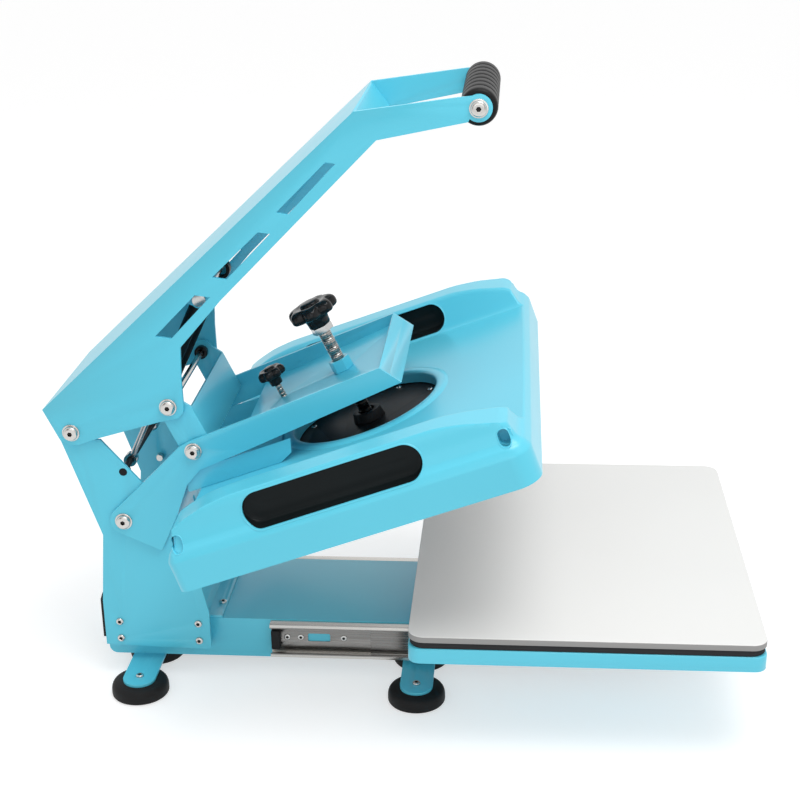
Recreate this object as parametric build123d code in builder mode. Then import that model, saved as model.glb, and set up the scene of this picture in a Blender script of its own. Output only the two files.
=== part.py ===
from build123d import *
import os
from math import cos, sin, radians, hypot, pi

# Flat heat press: a clamshell head over a slide-out drawer platen.
# X points to the front where the drawer comes out, Y points to the right side plate,
# Z points up. The origin is on the bench, under the middle of the press.
# Everything is drawn open: handle up, head raised, drawer out.

os.makedirs("parts", exist_ok=True)

# Clearances between neighbours
plate_gap = 1.5
slide_play = 0.5
running_fit = 0.1

# Overall layout across the press
base_half_width = 83.0
slide_depth = 13.0
base_rear = -371.0
base_front = 90.0
base_bottom = 21.5
base_top = 75.0
base_sheet = 2.5
base_lip = 22.0
base_rear_radius = 10.0

tower_inner = base_half_width + slide_depth
tower_sheet = 4.0
tower_outer = tower_inner + tower_sheet
cheek_inner = tower_outer + plate_gap
cheek_sheet = 4.5
cheek_outer = cheek_inner + cheek_sheet
web_sheet = 3.0

# Pivot centres seen from the side, as X and Z
handle_pivot = (-387.0, 331.4)
arm_pivot = (-332.5, 217.0)
link_top = (-268.0, 365.5)
link_bottom = (-241.5, 310.0)
spring_top = (-230.5, 487.0)
spring_bottom = (-330.0, 279.0)
grip_centre = (94.0, 714.0)

# Pivot hardware
spring_pin_radius = 4.0
pivot_bolt_radius = 5.0
pivot_head_radius = 8.75
pivot_head_height = 5.0
pivot_head_round = 3.0
pivot_bolt_reach = 8.0
pivot_washer_radius = 10.5
pivot_washer_thickness = 1.5
spacer_washer_radius = 13.0
spacer_washer_thickness = plate_gap - running_fit
hex_socket_across = 5.0
hex_socket_depth = 2.5

# Small machine screws
screw_radius = 2.5
screw_head_radius = 4.75
screw_head_height = 2.8
screw_socket_depth = 1.4
socket_share = 0.42

# Feet
foot_radius = 35.0
foot_height = 18.0
foot_bevel = 3.0
foot_bevel_run = 4.5
foot_rim_bevel = 1.0
foot_inner_y = 42.0
foot_outer_y = 138.0
foot_rows = (-320.0, 22.0)
crossbar_width = 40.0
crossbar_thickness = base_bottom - foot_height
crossbar_half_length = 160.0
foot_stud_radius = 4.0
foot_stud_length = 12.0
foot_screw_radius = 4.75

# Drawer slides
rail_length = 250.0
rail_rear = -163.0
rail_bottom = 28.5
rail_top = 73.5
rail_outer = base_half_width + slide_depth
rail_sheet = 1.5
rail_lip = 5.0
rail_screw_steps = (20.0, 37.0, 91.0, 193.0)
mid_rear = -38.0
race_gap = 0.3
mid_bottom = rail_bottom + rail_sheet + race_gap
mid_top = rail_top - rail_sheet - race_gap
mid_inset = 3.2
mid_depth = 7.3
mid_inner = base_half_width + mid_inset
mid_outer = mid_inner + mid_depth
mid_sheet = 1.3
inner_rear = 97.0
inner_bottom = mid_bottom + mid_sheet + race_gap
inner_top = mid_top - mid_sheet - race_gap
inner_inset = 5.5
inner_depth = 4.5
inner_inner = base_half_width + inner_inset
inner_outer = inner_inner + inner_depth
inner_strip_height = 22.0
bracket_inner = rail_outer + slide_play
bracket_sheet = 3.0
bracket_rear = 105.0
bracket_front = 340.0
bracket_middle = (bracket_rear + bracket_front) / 2
bracket_bottom = 38.5
bracket_flange = 30.0

# Drawer
tray_rear = 20.0
tray_length = 400.0
tray_width = 500.0
tray_bottom = 116.0
tray_top = 134.4
tray_sheet = 2.5
tray_corner = 14.0
tray_edge = 1.2
tray_hole_margin = 30.0
tray_side_hole = 90.0
tray_side_hole_y = 175.0
tray_middle_hole = 150.0
tray_hole_corner = 10.0
platen_edge = 0.8
pad_inset = 1.5
pad_top = 142.4
platen_top = 150.0
platen_corner = 18.0

# Head, drawn in its own tilted frame: u along its length, v square to its face
head_tilt = 19.8
head_origin = (-224.5, 216.2)
cover_rear = -2.0
cover_front = 416.0
cover_half_width = 285.0
cover_corner = 26.0
cover_rear_corner = 12.0
cover_wall = 3.0
cover_fold = 36.0
cover_deck = 45.0
cover_length = cover_front - cover_rear
deck_slope = 5.0
hump_top = 87.5
hump_width = 80.0
hump_foot_inner = cover_half_width - hump_width
window_step = 202.0
window_middle_u = cover_rear + window_step
window_level = 60.0
window_length = 206.0
window_height = 40.0
recess_level_rear = 52.5
recess_level_front = 55.5
recess_inset_rear = 17.5
recess_inset_front = 23.5
recess_width = 12.5
recess_height = 18.5
recess_reach = 23.0
opening_step = 207.0
opening_centre_u = cover_rear + opening_step
opening_radius = 93.0
ring_width = 16.0
ring_height = 3.0
ring_slope = 35
collar_gap = 1.5
through_cut = 30.0

# Hump outline along the head: distance in from the rear or front end, and height
hump_front_step = 8.5
hump_rear_profile = [
    (0.0, cover_fold),
    (10.0, hump_top - 21.5),
    (29.0, hump_top - 13.5),
    (57.0, hump_top - 5.5),
    (90.0, hump_top),
]
hump_front_profile = [
    (95.0, hump_top),
    (58.0, hump_top - 7.0),
    (22.0, hump_top - 16.0),
    (9.0, hump_top - 3 * hump_front_step),
    (0.0, cover_fold),
]

# Hump outline across the head: distance in from the side of the cover, and height
hump_outer_section = [
    (0.0, cover_fold),
    (11.0, cover_fold + 15.0),
    (15.0, cover_fold + 27.0),
    (18.0, hump_top - 8.0),
    (22.0, hump_top),
]
hump_inner_section = [
    (53.0, hump_top),
    (59.0, hump_top - 6.5),
    (hump_width, cover_deck),
]

# Heat platen stack in the head
heat_centre_u = opening_centre_u
heat_length = 400.0
heat_width = 500.0
heat_bottom = -12.0
heat_top = 6.0
heater_top = 8.0
insulation_top = 28.0
shield_top = 30.0
stack_corner = 16.0
post_radius = 4.0
post_seat = 6.0
post_nut_radius = 6.5
post_nut_height = 4.0
heater_margin = 6.0
blanket_margin = 3.0
shield_screw_head = 2.0
post_u = 150.0
post_y = 200.0
shield_screw_ring = 85.0
shield_screw_count = 8

# Arm panel and screw axes seen from the side
panel_tilt = 25.7
panel_point = (-73.0, 377.5)
panel_rear_x = -186.0
panel_front_x = -6.0
pressure_point = (-79.0, 391.8)
pressure_stud_radius = 8.0
pressure_knob_radius = 32.0
pressure_knob_height = 33.0
pressure_knob_base = 47.0
small_point = (-147.6, 341.3)
small_stud_radius = 4.0
small_knob_radius = 18.0
small_knob_height = 24.0
small_knob_base = 18.0
small_stud_reach = 20.0


def side_plane(y):
    """Upright plane at a given Y, X to the right and Z up; extruding goes to the left side."""
    return Plane(origin=(0, y, 0), x_dir=(1, 0, 0), z_dir=(0, -1, 0))


def layer_plane(side, inner, outer):
    """Start plane of a plate that fills inner to outer on the left (-1) or right (+1) side."""
    start = -inner if side < 0 else outer
    return side_plane(start)


def head_plane(v):
    """Plane parallel to the head's working face, v above its skirt."""
    tilt = radians(head_tilt)
    return Plane(
        origin=(head_origin[0] - v * sin(tilt), 0, head_origin[1] + v * cos(tilt)),
        x_dir=(cos(tilt), 0, sin(tilt)),
        z_dir=(-sin(tilt), 0, cos(tilt)),
    )


def head_side_plane(y):
    """Upright plane at a given Y whose axes are the head's own u and v."""
    tilt = radians(head_tilt)
    return Plane(
        origin=(head_origin[0], y, head_origin[1]),
        x_dir=(cos(tilt), 0, sin(tilt)),
        z_dir=(0, -1, 0),
    )


def head_section_plane(u):
    """Plane across the head at a given u, with Y to the right and v up."""
    tilt = radians(head_tilt)
    return Plane(
        origin=(head_origin[0] + u * cos(tilt), 0, head_origin[1] + u * sin(tilt)),
        x_dir=(0, 1, 0),
        z_dir=(cos(tilt), 0, sin(tilt)),
    )


def screw_plane(point, along):
    """Plane square to the pressure screws, a distance along the axis above the given point."""
    tilt = radians(panel_tilt)
    return Plane(
        origin=(point[0] - along * sin(tilt), 0, point[1] + along * cos(tilt)),
        x_dir=(cos(tilt), 0, sin(tilt)),
        z_dir=(-sin(tilt), 0, cos(tilt)),
    )


def toward(start, end, distance):
    """Point a distance from start on the line to end."""
    length = hypot(end[0] - start[0], end[1] - start[1])
    return (
        start[0] + (end[0] - start[0]) * distance / length,
        start[1] + (end[1] - start[1]) * distance / length,
    )


def axis_plane(start, end, y, distance):
    """Plane at Y square to the line from start to end, a distance from start."""
    at = toward(start, end, distance)
    length = hypot(end[0] - start[0], end[1] - start[1])
    across = ((end[1] - start[1]) / length, 0, -(end[0] - start[0]) / length)
    along = ((end[0] - start[0]) / length, 0, (end[1] - start[1]) / length)
    return Plane(origin=(at[0], y, at[1]), x_dir=across, z_dir=along)


def shape(name, item):
    """Name a finished piece and write it."""
    item.label = name
    export_step(item, f"parts/{name}.step")


# Base channel
base_middle_x = (base_rear + base_front) / 2
base_length = base_front - base_rear
with BuildPart() as base_channel:
    with BuildSketch(Plane.XZ.offset(-base_half_width)):
        with Locations((base_middle_x, (base_bottom + base_top) / 2)):
            Rectangle(base_length, base_top - base_bottom)
    extrude(amount=2 * base_half_width)
    fillet(base_channel.edges().filter_by(Axis.Y).group_by(Axis.X)[0].sort_by(Axis.Z)[0], base_rear_radius)
    base_ends = base_channel.faces().filter_by(Plane.YZ).sort_by(Axis.X)
    offset(amount=-base_sheet, openings=[base_ends[-1]])
    with BuildSketch(Plane.XY.offset(base_bottom)):
        with Locations((base_middle_x + base_lip, 0)):
            Rectangle(base_length, 2 * (base_half_width - base_lip))
    extrude(amount=base_sheet, mode=Mode.SUBTRACT)
    with Locations((foot_rows[0], 0, base_bottom), (foot_rows[1], 0, base_bottom)):
        Box(
            crossbar_width + 2 * base_lip,
            2 * (base_half_width - base_sheet),
            base_sheet,
            align=(Align.CENTER, Align.CENTER, Align.MIN),
        )
shape("base_channel", base_channel.part)

# Cross bars that carry the feet
with BuildPart() as foot_crossbars:
    with BuildSketch(Plane.XY.offset(foot_height)):
        for row in foot_rows:
            with Locations((row, 0)):
                SlotOverall(2 * crossbar_half_length, crossbar_width, rotation=90)
    extrude(amount=crossbar_thickness)
    with BuildSketch(Plane.XY.offset(foot_height)):
        for row in foot_rows:
            for y in (-foot_outer_y, -foot_inner_y, foot_inner_y, foot_outer_y):
                with Locations((row, y)):
                    Circle(foot_stud_radius)
    extrude(amount=crossbar_thickness, mode=Mode.SUBTRACT)
shape("foot_crossbars", foot_crossbars.part)


def foot_spots():
    """All eight places where a rubber foot stands."""
    spots = []
    for row in foot_rows:
        for y in (-foot_outer_y, -foot_inner_y, foot_inner_y, foot_outer_y):
            spots.append((row, y))
    return spots


with BuildPart() as rubber_feet:
    with BuildSketch(Plane.XY):
        with Locations(*foot_spots()):
            Circle(foot_radius)
    extrude(amount=foot_height)
    chamfer(rubber_feet.edges().filter_by(GeomType.CIRCLE).group_by(Axis.Z)[-1], foot_bevel_run, foot_bevel)
    chamfer(rubber_feet.edges().filter_by(GeomType.CIRCLE).group_by(Axis.Z)[0], foot_rim_bevel)
    with BuildSketch(Plane.XY.offset(foot_height - foot_stud_length)):
        with Locations(*foot_spots()):
            Circle(foot_stud_radius)
    extrude(amount=foot_stud_length, mode=Mode.SUBTRACT)
shape("rubber_feet", rubber_feet.part)

outer_foot_spots = [spot for spot in foot_spots() if abs(spot[1]) > base_half_width]
inner_foot_spots = [spot for spot in foot_spots() if abs(spot[1]) < base_half_width]
with BuildPart() as foot_screws:
    with BuildSketch(Plane.XY.offset(foot_height - foot_stud_length)):
        with Locations(*outer_foot_spots):
            Circle(foot_stud_radius)
    extrude(amount=foot_stud_length + crossbar_thickness)
    with BuildSketch(Plane.XY.offset(base_bottom)):
        with Locations(*outer_foot_spots):
            Circle(foot_screw_radius)
    extrude(amount=screw_head_height)
    with BuildSketch(Plane.XY.offset(foot_height - foot_stud_length)):
        with Locations(*inner_foot_spots):
            Circle(foot_stud_radius)
    extrude(amount=foot_stud_length + crossbar_thickness)
shape("foot_screws", foot_screws.part)

# Tower side plates
tower_outline = [
    (-403.0, 320.6),
    (-361.5, 194.8),
    (-369.3, 105.0),
    (-369.3, 43.5),
    (-240.5, 39.8),
    (-236.8, 43.5),
    (-237.0, 92.1),
    (-243.7, 122.5),
    (-266.7, 226.4),
    (-307.9, 265.1),
    (-354.5, 320.1),
]
tower_eye_radius = 19.0
tower_corner = 4.0
tower_screw_spots = [(-350.0, 76.2), (-350.0, 53.0), (-251.3, 75.4), (-251.3, 51.7)]


def tower_plate(side):
    """One side plate of the tower, with its pivot eye at the top and its holes."""
    with BuildPart() as plate:
        with BuildSketch(layer_plane(side, tower_inner, tower_outer)) as face:
            with BuildLine():
                Polyline(*tower_outline, close=True)
            make_face()
            fillet(face.vertices().group_by(Axis.Y)[0], tower_corner)
            with Locations(handle_pivot):
                Circle(tower_eye_radius)
            with Locations(handle_pivot, arm_pivot, spring_bottom):
                Circle(pivot_bolt_radius, mode=Mode.SUBTRACT)
            with Locations(*tower_screw_spots):
                Circle(screw_radius, mode=Mode.SUBTRACT)
        extrude(amount=tower_sheet)
    return plate.part


shape("tower_plate_left", tower_plate(-1))
shape("tower_plate_right", tower_plate(1))

# Spacer bars between the base and the tower plates
spacer_width = 22.0
spacer_bottom = 40.0
spacer_top = 88.0
with BuildPart() as tower_spacer_bars:
    for side in (-1, 1):
        for spot_x in (tower_screw_spots[0][0], tower_screw_spots[2][0]):
            with BuildSketch(layer_plane(side, base_half_width, tower_inner)):
                with Locations((spot_x, (spacer_bottom + spacer_top) / 2)):
                    Rectangle(spacer_width, spacer_top - spacer_bottom)
                for spot in tower_screw_spots:
                    with Locations(spot):
                        Circle(screw_radius, mode=Mode.SUBTRACT)
            extrude(amount=tower_inner - base_half_width)
shape("tower_spacer_bars", tower_spacer_bars.part)


def button_screws(spots, face_y, length, head_radius, head_height, shank_radius, socket):
    """Round-headed screws on both side faces, heads outward, shanks running inward."""
    with BuildPart() as screws:
        for side in (-1, 1):
            with BuildSketch(layer_plane(side, face_y - length, face_y)):
                with Locations(*spots):
                    Circle(shank_radius)
            extrude(amount=length)
            with BuildSketch(layer_plane(side, face_y, face_y + head_height)):
                with Locations(*spots):
                    Circle(head_radius)
            extrude(amount=head_height)
            with BuildSketch(layer_plane(side, face_y + head_height - socket, face_y + head_height)):
                with Locations(*spots):
                    RegularPolygon(head_radius * socket_share, 6)
            extrude(amount=socket, mode=Mode.SUBTRACT)
    return screws.part


tower_screw_reach = 11.0
shape(
    "tower_screws",
    button_screws(
        tower_screw_spots,
        tower_outer,
        tower_sheet + tower_screw_reach,
        screw_head_radius,
        screw_head_height,
        screw_radius,
        screw_socket_depth,
    ),
)

# Bulkhead that closes the front of the tower
bulkhead_half_width = tower_inner
bulkhead_sheet = 3.0
bulkhead_front_line = [(-243.0, base_top + bulkhead_sheet), (-246.2, 92.0), (-251.0, 120.0), (-272.0, 214.0)]
bulkhead_lip = [(-277.0, 222.0), (-280.0, 220.5)]
bulkhead_rear_line = [(-275.0, 213.0), (-254.0, 119.3), (-248.4, base_top)]
bulkhead_hole_level = 200.0
bulkhead_notch = 60.0
bulkhead_hole_radius = 4.5
bulkhead_flange_front = -224.0
bulkhead_screw_y = 48.0
bulkhead_screw_x = -229.5
with BuildPart() as tower_bulkhead:
    with BuildSketch(side_plane(bulkhead_half_width)):
        with BuildLine():
            Polyline(
                (bulkhead_flange_front, base_top),
                (bulkhead_flange_front, base_top + bulkhead_sheet),
                *bulkhead_front_line,
                *bulkhead_lip,
                *bulkhead_rear_line,
                close=True,
            )
        make_face()
    extrude(amount=2 * bulkhead_half_width)
    for side in (-1, 1):
        with BuildSketch(layer_plane(side, base_half_width - slide_play, bulkhead_half_width)):
            with Locations((tower_screw_spots[2][0], (base_top + spacer_top) / 2)):
                Rectangle(bulkhead_notch, spacer_top - base_top + 2 * slide_play)
        extrude(amount=bulkhead_half_width - base_half_width + slide_play, mode=Mode.SUBTRACT)
    with BuildSketch(Plane.YZ.offset(bulkhead_lip[1][0])):
        with Locations((0, bulkhead_hole_level)):
            Circle(bulkhead_hole_radius)
    extrude(amount=bulkhead_notch, mode=Mode.SUBTRACT)
    with BuildSketch(Plane.XY.offset(base_top)):
        with Locations((bulkhead_screw_x, -bulkhead_screw_y), (bulkhead_screw_x, bulkhead_screw_y)):
            Circle(screw_radius)
    extrude(amount=bulkhead_sheet, mode=Mode.SUBTRACT)
shape("tower_bulkhead", tower_bulkhead.part)

with BuildPart() as bulkhead_screws:
    with BuildSketch(Plane.XY.offset(base_top)):
        with Locations((bulkhead_screw_x, -bulkhead_screw_y), (bulkhead_screw_x, bulkhead_screw_y)):
            Circle(screw_radius)
    extrude(amount=bulkhead_sheet)
    with BuildSketch(Plane.XY.offset(base_top + bulkhead_sheet)):
        with Locations((bulkhead_screw_x, -bulkhead_screw_y), (bulkhead_screw_x, bulkhead_screw_y)):
            Circle(screw_head_radius)
    extrude(amount=screw_head_height)
    with BuildSketch(Plane.XY.offset(base_top + bulkhead_sheet + screw_head_height)):
        with Locations((bulkhead_screw_x, -bulkhead_screw_y), (bulkhead_screw_x, bulkhead_screw_y)):
            RegularPolygon(screw_head_radius * socket_share, 6)
    extrude(amount=-screw_socket_depth, mode=Mode.SUBTRACT)
shape("bulkhead_screws", bulkhead_screws.part)

# Power inlet box on the rear end of the base
inlet_depth = 10.0
inlet_rear = base_rear - inlet_depth
inlet_left = -72.0
inlet_right = -12.0
inlet_bottom = 38.0
inlet_top = 103.0
inlet_slope = 3.0
socket_y = (inlet_left + inlet_right) / 2 - 12.0
socket_level = 51.0
socket_width = 27.0
socket_height = 19.0
socket_corner = 3.0
socket_depth = 8.0
rocker_y = (inlet_left + inlet_right) / 2 + 17.0
rocker_width = 14.0
rocker_height = 20.0
rocker_corner = 1.0
rocker_depth = 3.0
pin_width = 2.0
pin_height = 5.0
pin_length = 6.0
pin_pitch = 7.0
socket_pins = [
    (socket_y - pin_pitch, socket_level - 1.5),
    (socket_y, socket_level + 2.0),
    (socket_y + pin_pitch, socket_level - 1.5),
]
with BuildPart() as power_inlet_box:
    with BuildSketch(side_plane(inlet_right)):
        with BuildLine():
            Polyline(
                (base_rear, inlet_bottom),
                (base_rear, inlet_top),
                (inlet_rear + inlet_slope, inlet_top - inlet_slope),
                (inlet_rear, inlet_top - 4 * inlet_slope),
                (inlet_rear, inlet_bottom),
                close=True,
            )
        make_face()
    extrude(amount=inlet_right - inlet_left)
    with BuildSketch(Plane.YZ.offset(inlet_rear)):
        with Locations((socket_y, socket_level)):
            RectangleRounded(socket_width, socket_height, socket_corner)
    extrude(amount=socket_depth, mode=Mode.SUBTRACT)
    with BuildSketch(Plane.YZ.offset(inlet_rear)):
        with Locations((rocker_y, socket_level)):
            RectangleRounded(rocker_width, rocker_height, rocker_corner)
    extrude(amount=rocker_depth, mode=Mode.SUBTRACT)
    with BuildSketch(Plane.YZ.offset(inlet_rear + socket_depth)):
        with Locations(*socket_pins):
            Rectangle(pin_width, pin_height)
    extrude(amount=-pin_length)
shape("power_inlet_box", power_inlet_box.part)


# Drawer slide outer rails, one on each side of the base
rail_window_step = 60.0
rail_window_x = rail_rear + rail_window_step
rail_window_length = 28.0
rail_window_height = 11.0
rail_window_corner = 2.0
rail_middle_x = rail_rear + rail_length / 2
rail_middle_z = (rail_bottom + rail_top) / 2
rail_screw_spots = [(rail_rear + step, rail_middle_z) for step in rail_screw_steps]


def outer_rail(side):
    """Rolled outer slide member: a web against the base and two lips turned back at the open side."""
    with BuildPart() as rail:
        with BuildSketch(layer_plane(side, base_half_width, base_half_width + rail_sheet)):
            with Locations((rail_middle_x, rail_middle_z)):
                Rectangle(rail_length, rail_top - rail_bottom)
            with Locations((rail_window_x, rail_middle_z)):
                RectangleRounded(
                    rail_window_length,
                    rail_window_height,
                    rail_window_corner,
                    mode=Mode.SUBTRACT,
                )
            with Locations(*rail_screw_spots):
                Circle(screw_radius, mode=Mode.SUBTRACT)
        extrude(amount=rail_sheet)
        with BuildSketch(layer_plane(side, base_half_width, rail_outer)):
            for level in (rail_bottom + rail_sheet / 2, rail_top - rail_sheet / 2):
                with Locations((rail_middle_x, level)):
                    Rectangle(rail_length, rail_sheet)
        extrude(amount=rail_outer - base_half_width)
        with BuildSketch(layer_plane(side, rail_outer - rail_sheet, rail_outer)):
            for level in (rail_bottom + rail_lip / 2, rail_top - rail_lip / 2):
                with Locations((rail_middle_x, level)):
                    Rectangle(rail_length, rail_lip)
        extrude(amount=rail_sheet)
    return rail.part


shape("slide_outer_rail_left", outer_rail(-1))
shape("slide_outer_rail_right", outer_rail(1))
rail_screw_head_radius = 4.0
rail_screw_head_height = 1.2
rail_screw_socket = 0.6
shape(
    "slide_rail_screws",
    button_screws(
        rail_screw_spots,
        base_half_width + rail_sheet,
        rail_sheet,
        rail_screw_head_radius,
        rail_screw_head_height,
        screw_radius,
        rail_screw_socket,
    ),
)

# Soft stops at the rear of the outer rails
bumper_length = 11.0
bumper_height = 26.0
bumper_corner = 2.0
bumper_seat = 1.0
with BuildPart() as slide_bumpers:
    for side in (-1, 1):
        with BuildSketch(layer_plane(side, base_half_width + rail_sheet, rail_outer - rail_sheet)):
            with Locations((rail_rear + bumper_length / 2 + bumper_seat, rail_middle_z)):
                RectangleRounded(bumper_length, bumper_height, bumper_corner)
        extrude(amount=rail_outer - base_half_width - 2 * rail_sheet)
shape("slide_bumpers", slide_bumpers.part)

# Middle slide members with their ball strips
with BuildPart() as slide_middle_members:
    for side in (-1, 1):
        with BuildSketch(layer_plane(side, mid_inner, mid_inner + mid_sheet)):
            with Locations((mid_rear + rail_length / 2, rail_middle_z)):
                Rectangle(rail_length, mid_top - mid_bottom)
        extrude(amount=mid_sheet)
        for level in (mid_bottom + mid_sheet / 2, mid_top - mid_sheet / 2):
            with BuildSketch(layer_plane(side, mid_inner, mid_outer)):
                with Locations((mid_rear + rail_length / 2, level)):
                    Rectangle(rail_length, mid_sheet)
            extrude(amount=mid_outer - mid_inner)
shape("slide_middle_members", slide_middle_members.part)

# Inner slide members that carry the drawer
inner_middle_x = inner_rear + rail_length / 2
with BuildPart() as slide_inner_members:
    for side in (-1, 1):
        with BuildSketch(layer_plane(side, inner_outer - mid_sheet, inner_outer)):
            with Locations((inner_middle_x, rail_middle_z)):
                Rectangle(rail_length, inner_top - inner_bottom)
        extrude(amount=mid_sheet)
        with BuildSketch(layer_plane(side, inner_inner, inner_outer)):
            for level in (inner_bottom + mid_sheet / 2, inner_top - mid_sheet / 2):
                with Locations((inner_middle_x, level)):
                    Rectangle(rail_length, mid_sheet)
        extrude(amount=inner_outer - inner_inner)
        with BuildSketch(layer_plane(side, inner_outer, bracket_inner)):
            with Locations((inner_middle_x, rail_middle_z)):
                Rectangle(rail_length, inner_strip_height)
        extrude(amount=bracket_inner - inner_outer)
shape("slide_inner_members", slide_inner_members.part)


def drawer_bracket(side):
    """Upright bracket between an inner slide member and the tray."""
    with BuildPart() as bracket:
        with BuildSketch(layer_plane(side, bracket_inner, bracket_inner + bracket_sheet)):
            with Locations((bracket_middle, (bracket_bottom + tray_bottom) / 2)):
                Rectangle(bracket_front - bracket_rear, tray_bottom - bracket_bottom)
        extrude(amount=bracket_sheet)
        with BuildSketch(layer_plane(side, bracket_inner, bracket_inner + bracket_flange)):
            with Locations((bracket_middle, tray_bottom - bracket_sheet / 2)):
                Rectangle(bracket_front - bracket_rear, bracket_sheet)
        extrude(amount=bracket_flange)
    return bracket.part


shape("drawer_bracket_left", drawer_bracket(-1))
shape("drawer_bracket_right", drawer_bracket(1))

# Drawer tray, pad and lower platen
tray_middle = tray_rear + tray_length / 2
with BuildPart() as drawer_tray:
    with BuildSketch(Plane.XY.offset(tray_bottom)):
        with Locations((tray_middle, 0)):
            RectangleRounded(tray_length, tray_width, tray_corner)
    extrude(amount=tray_top - tray_bottom)
    chamfer(drawer_tray.edges().group_by(Axis.Z)[-1], tray_edge)
    with BuildSketch(Plane.XY.offset(tray_bottom + tray_sheet)):
        with Locations((tray_middle, 0)):
            RectangleRounded(
                tray_length - 2 * tray_sheet,
                tray_width - 2 * tray_sheet,
                tray_corner - tray_sheet,
            )
    extrude(amount=tray_top - tray_bottom - 2 * tray_sheet, mode=Mode.SUBTRACT)
    with BuildSketch(Plane.XY.offset(tray_bottom)):
        with Locations((tray_middle, -tray_side_hole_y), (tray_middle, tray_side_hole_y)):
            RectangleRounded(tray_length - 2 * tray_hole_margin, tray_side_hole, tray_hole_corner)
        with Locations((tray_middle, 0)):
            RectangleRounded(tray_length - 2 * tray_hole_margin, tray_middle_hole, tray_hole_corner)
    extrude(amount=tray_sheet, mode=Mode.SUBTRACT)
shape("drawer_tray", drawer_tray.part)

with BuildPart() as platen_pad:
    with BuildSketch(Plane.XY.offset(tray_top)):
        with Locations((tray_middle, 0)):
            RectangleRounded(tray_length - 2 * pad_inset, tray_width - 2 * pad_inset, platen_corner)
    extrude(amount=pad_top - tray_top)
shape("platen_pad", platen_pad.part)

with BuildPart() as lower_platen:
    with BuildSketch(Plane.XY.offset(pad_top)):
        with Locations((tray_middle, 0)):
            RectangleRounded(tray_length, tray_width, platen_corner)
    extrude(amount=platen_top - pad_top)
    chamfer(lower_platen.edges().group_by(Axis.Z)[-1], platen_edge)
shape("lower_platen", lower_platen.part)

# Handle: two cheeks joined by a web along the upper edge, with a yoke for the grip
cheek_outline = [
    (-419.2, 359.8),
    (-401.0, 321.5),
    (-389.5, 315.5),
    (-379.8, 315.5),
    (-352.5, 325.2),
    (-278.8, 346.7),
    (-257.0, 351.5),
    (-250.5, 358.5),
    (-249.6, 366.0),
    (-250.3, 399.7),
    (-248.8, 439.0),
    (-198.9, 496.0),
    (-17.2, 679.4),
    (82.5, 699.1),
    (97.4, 728.0),
    (72.3, 725.7),
    (-41.5, 710.7),
]
grip_eye_radius = 15.0
lug_inner = 69.0
lug_sheet = 3.0
lug_outer = lug_inner + lug_sheet
lug_radius = 11.0
lug_web_half = 26.0
handle_slots = [
    [(-73.7, 655.2), (-62.7, 653.6), (-117.5, 596.3), (-130.2, 599.1)],
    [(-152.0, 576.2), (-138.0, 574.6), (-190.7, 520.9), (-206.5, 523.7)],
    [(-227.9, 502.3), (-210.8, 500.0), (-258.6, 449.8), (-277.1, 452.6)],
]
web_start = cheek_outline[0]
web_end = cheek_outline[-1]
handle_rise = ((web_end[0] - web_start[0]), (web_end[1] - web_start[1]))
handle_length = hypot(*handle_rise)
web_normal = (handle_rise[1] / handle_length, -handle_rise[0] / handle_length)
web_along = (handle_rise[0] / handle_length, handle_rise[1] / handle_length)
lip_length = 36.0
lip_end = toward(web_end, cheek_outline[12], lip_length)
lip_in = (
    (lip_end[1] - web_end[1]) / lip_length * web_sheet,
    -(lip_end[0] - web_end[0]) / lip_length * web_sheet,
)
lug_rise = (web_start[0] - spring_top[0]) * web_normal[0] + (web_start[1] - spring_top[1]) * web_normal[1]
lug_foot = (
    spring_top[0] + web_normal[0] * (lug_rise + web_sheet / 2),
    spring_top[1] + web_normal[1] * (lug_rise + web_sheet / 2),
)
with BuildPart() as handle_frame:
    for side in (-1, 1):
        with BuildSketch(layer_plane(side, cheek_inner, cheek_outer)):
            with BuildLine():
                Polyline(*cheek_outline, close=True)
            make_face()
            with Locations(grip_centre):
                Circle(grip_eye_radius)
            with Locations(handle_pivot):
                Circle(pivot_bolt_radius + running_fit, mode=Mode.SUBTRACT)
            with Locations(link_top, grip_centre):
                Circle(pivot_bolt_radius, mode=Mode.SUBTRACT)
            for slot in handle_slots:
                with BuildLine():
                    Polyline(*slot, close=True)
                make_face(mode=Mode.SUBTRACT)
        extrude(amount=cheek_sheet)
    with BuildSketch(side_plane(cheek_inner)):
        with BuildLine():
            Polyline(
                web_start,
                web_end,
                (web_end[0] + web_normal[0] * web_sheet, web_end[1] + web_normal[1] * web_sheet),
                (web_start[0] + web_normal[0] * web_sheet, web_start[1] + web_normal[1] * web_sheet),
                close=True,
            )
        make_face()
        with BuildLine():
            Polyline(
                web_end,
                lip_end,
                (lip_end[0] + lip_in[0], lip_end[1] + lip_in[1]),
                (web_end[0] + lip_in[0], web_end[1] + lip_in[1]),
                close=True,
            )
        make_face()
    extrude(amount=2 * cheek_inner)
    for side in (-1, 1):
        with BuildSketch(layer_plane(side, lug_inner, lug_inner + lug_sheet)):
            with Locations(spring_top):
                Circle(lug_radius)
            with BuildLine():
                Polyline(
                    (spring_top[0] - web_along[0] * lug_radius, spring_top[1] - web_along[1] * lug_radius),
                    (spring_top[0] + web_along[0] * lug_radius, spring_top[1] + web_along[1] * lug_radius),
                    (lug_foot[0] + web_along[0] * lug_web_half, lug_foot[1] + web_along[1] * lug_web_half),
                    (lug_foot[0] - web_along[0] * lug_web_half, lug_foot[1] - web_along[1] * lug_web_half),
                    close=True,
                )
            make_face()
            with Locations(spring_top):
                Circle(spring_pin_radius, mode=Mode.SUBTRACT)
        extrude(amount=lug_sheet)
shape("handle_frame", handle_frame.part)

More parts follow.
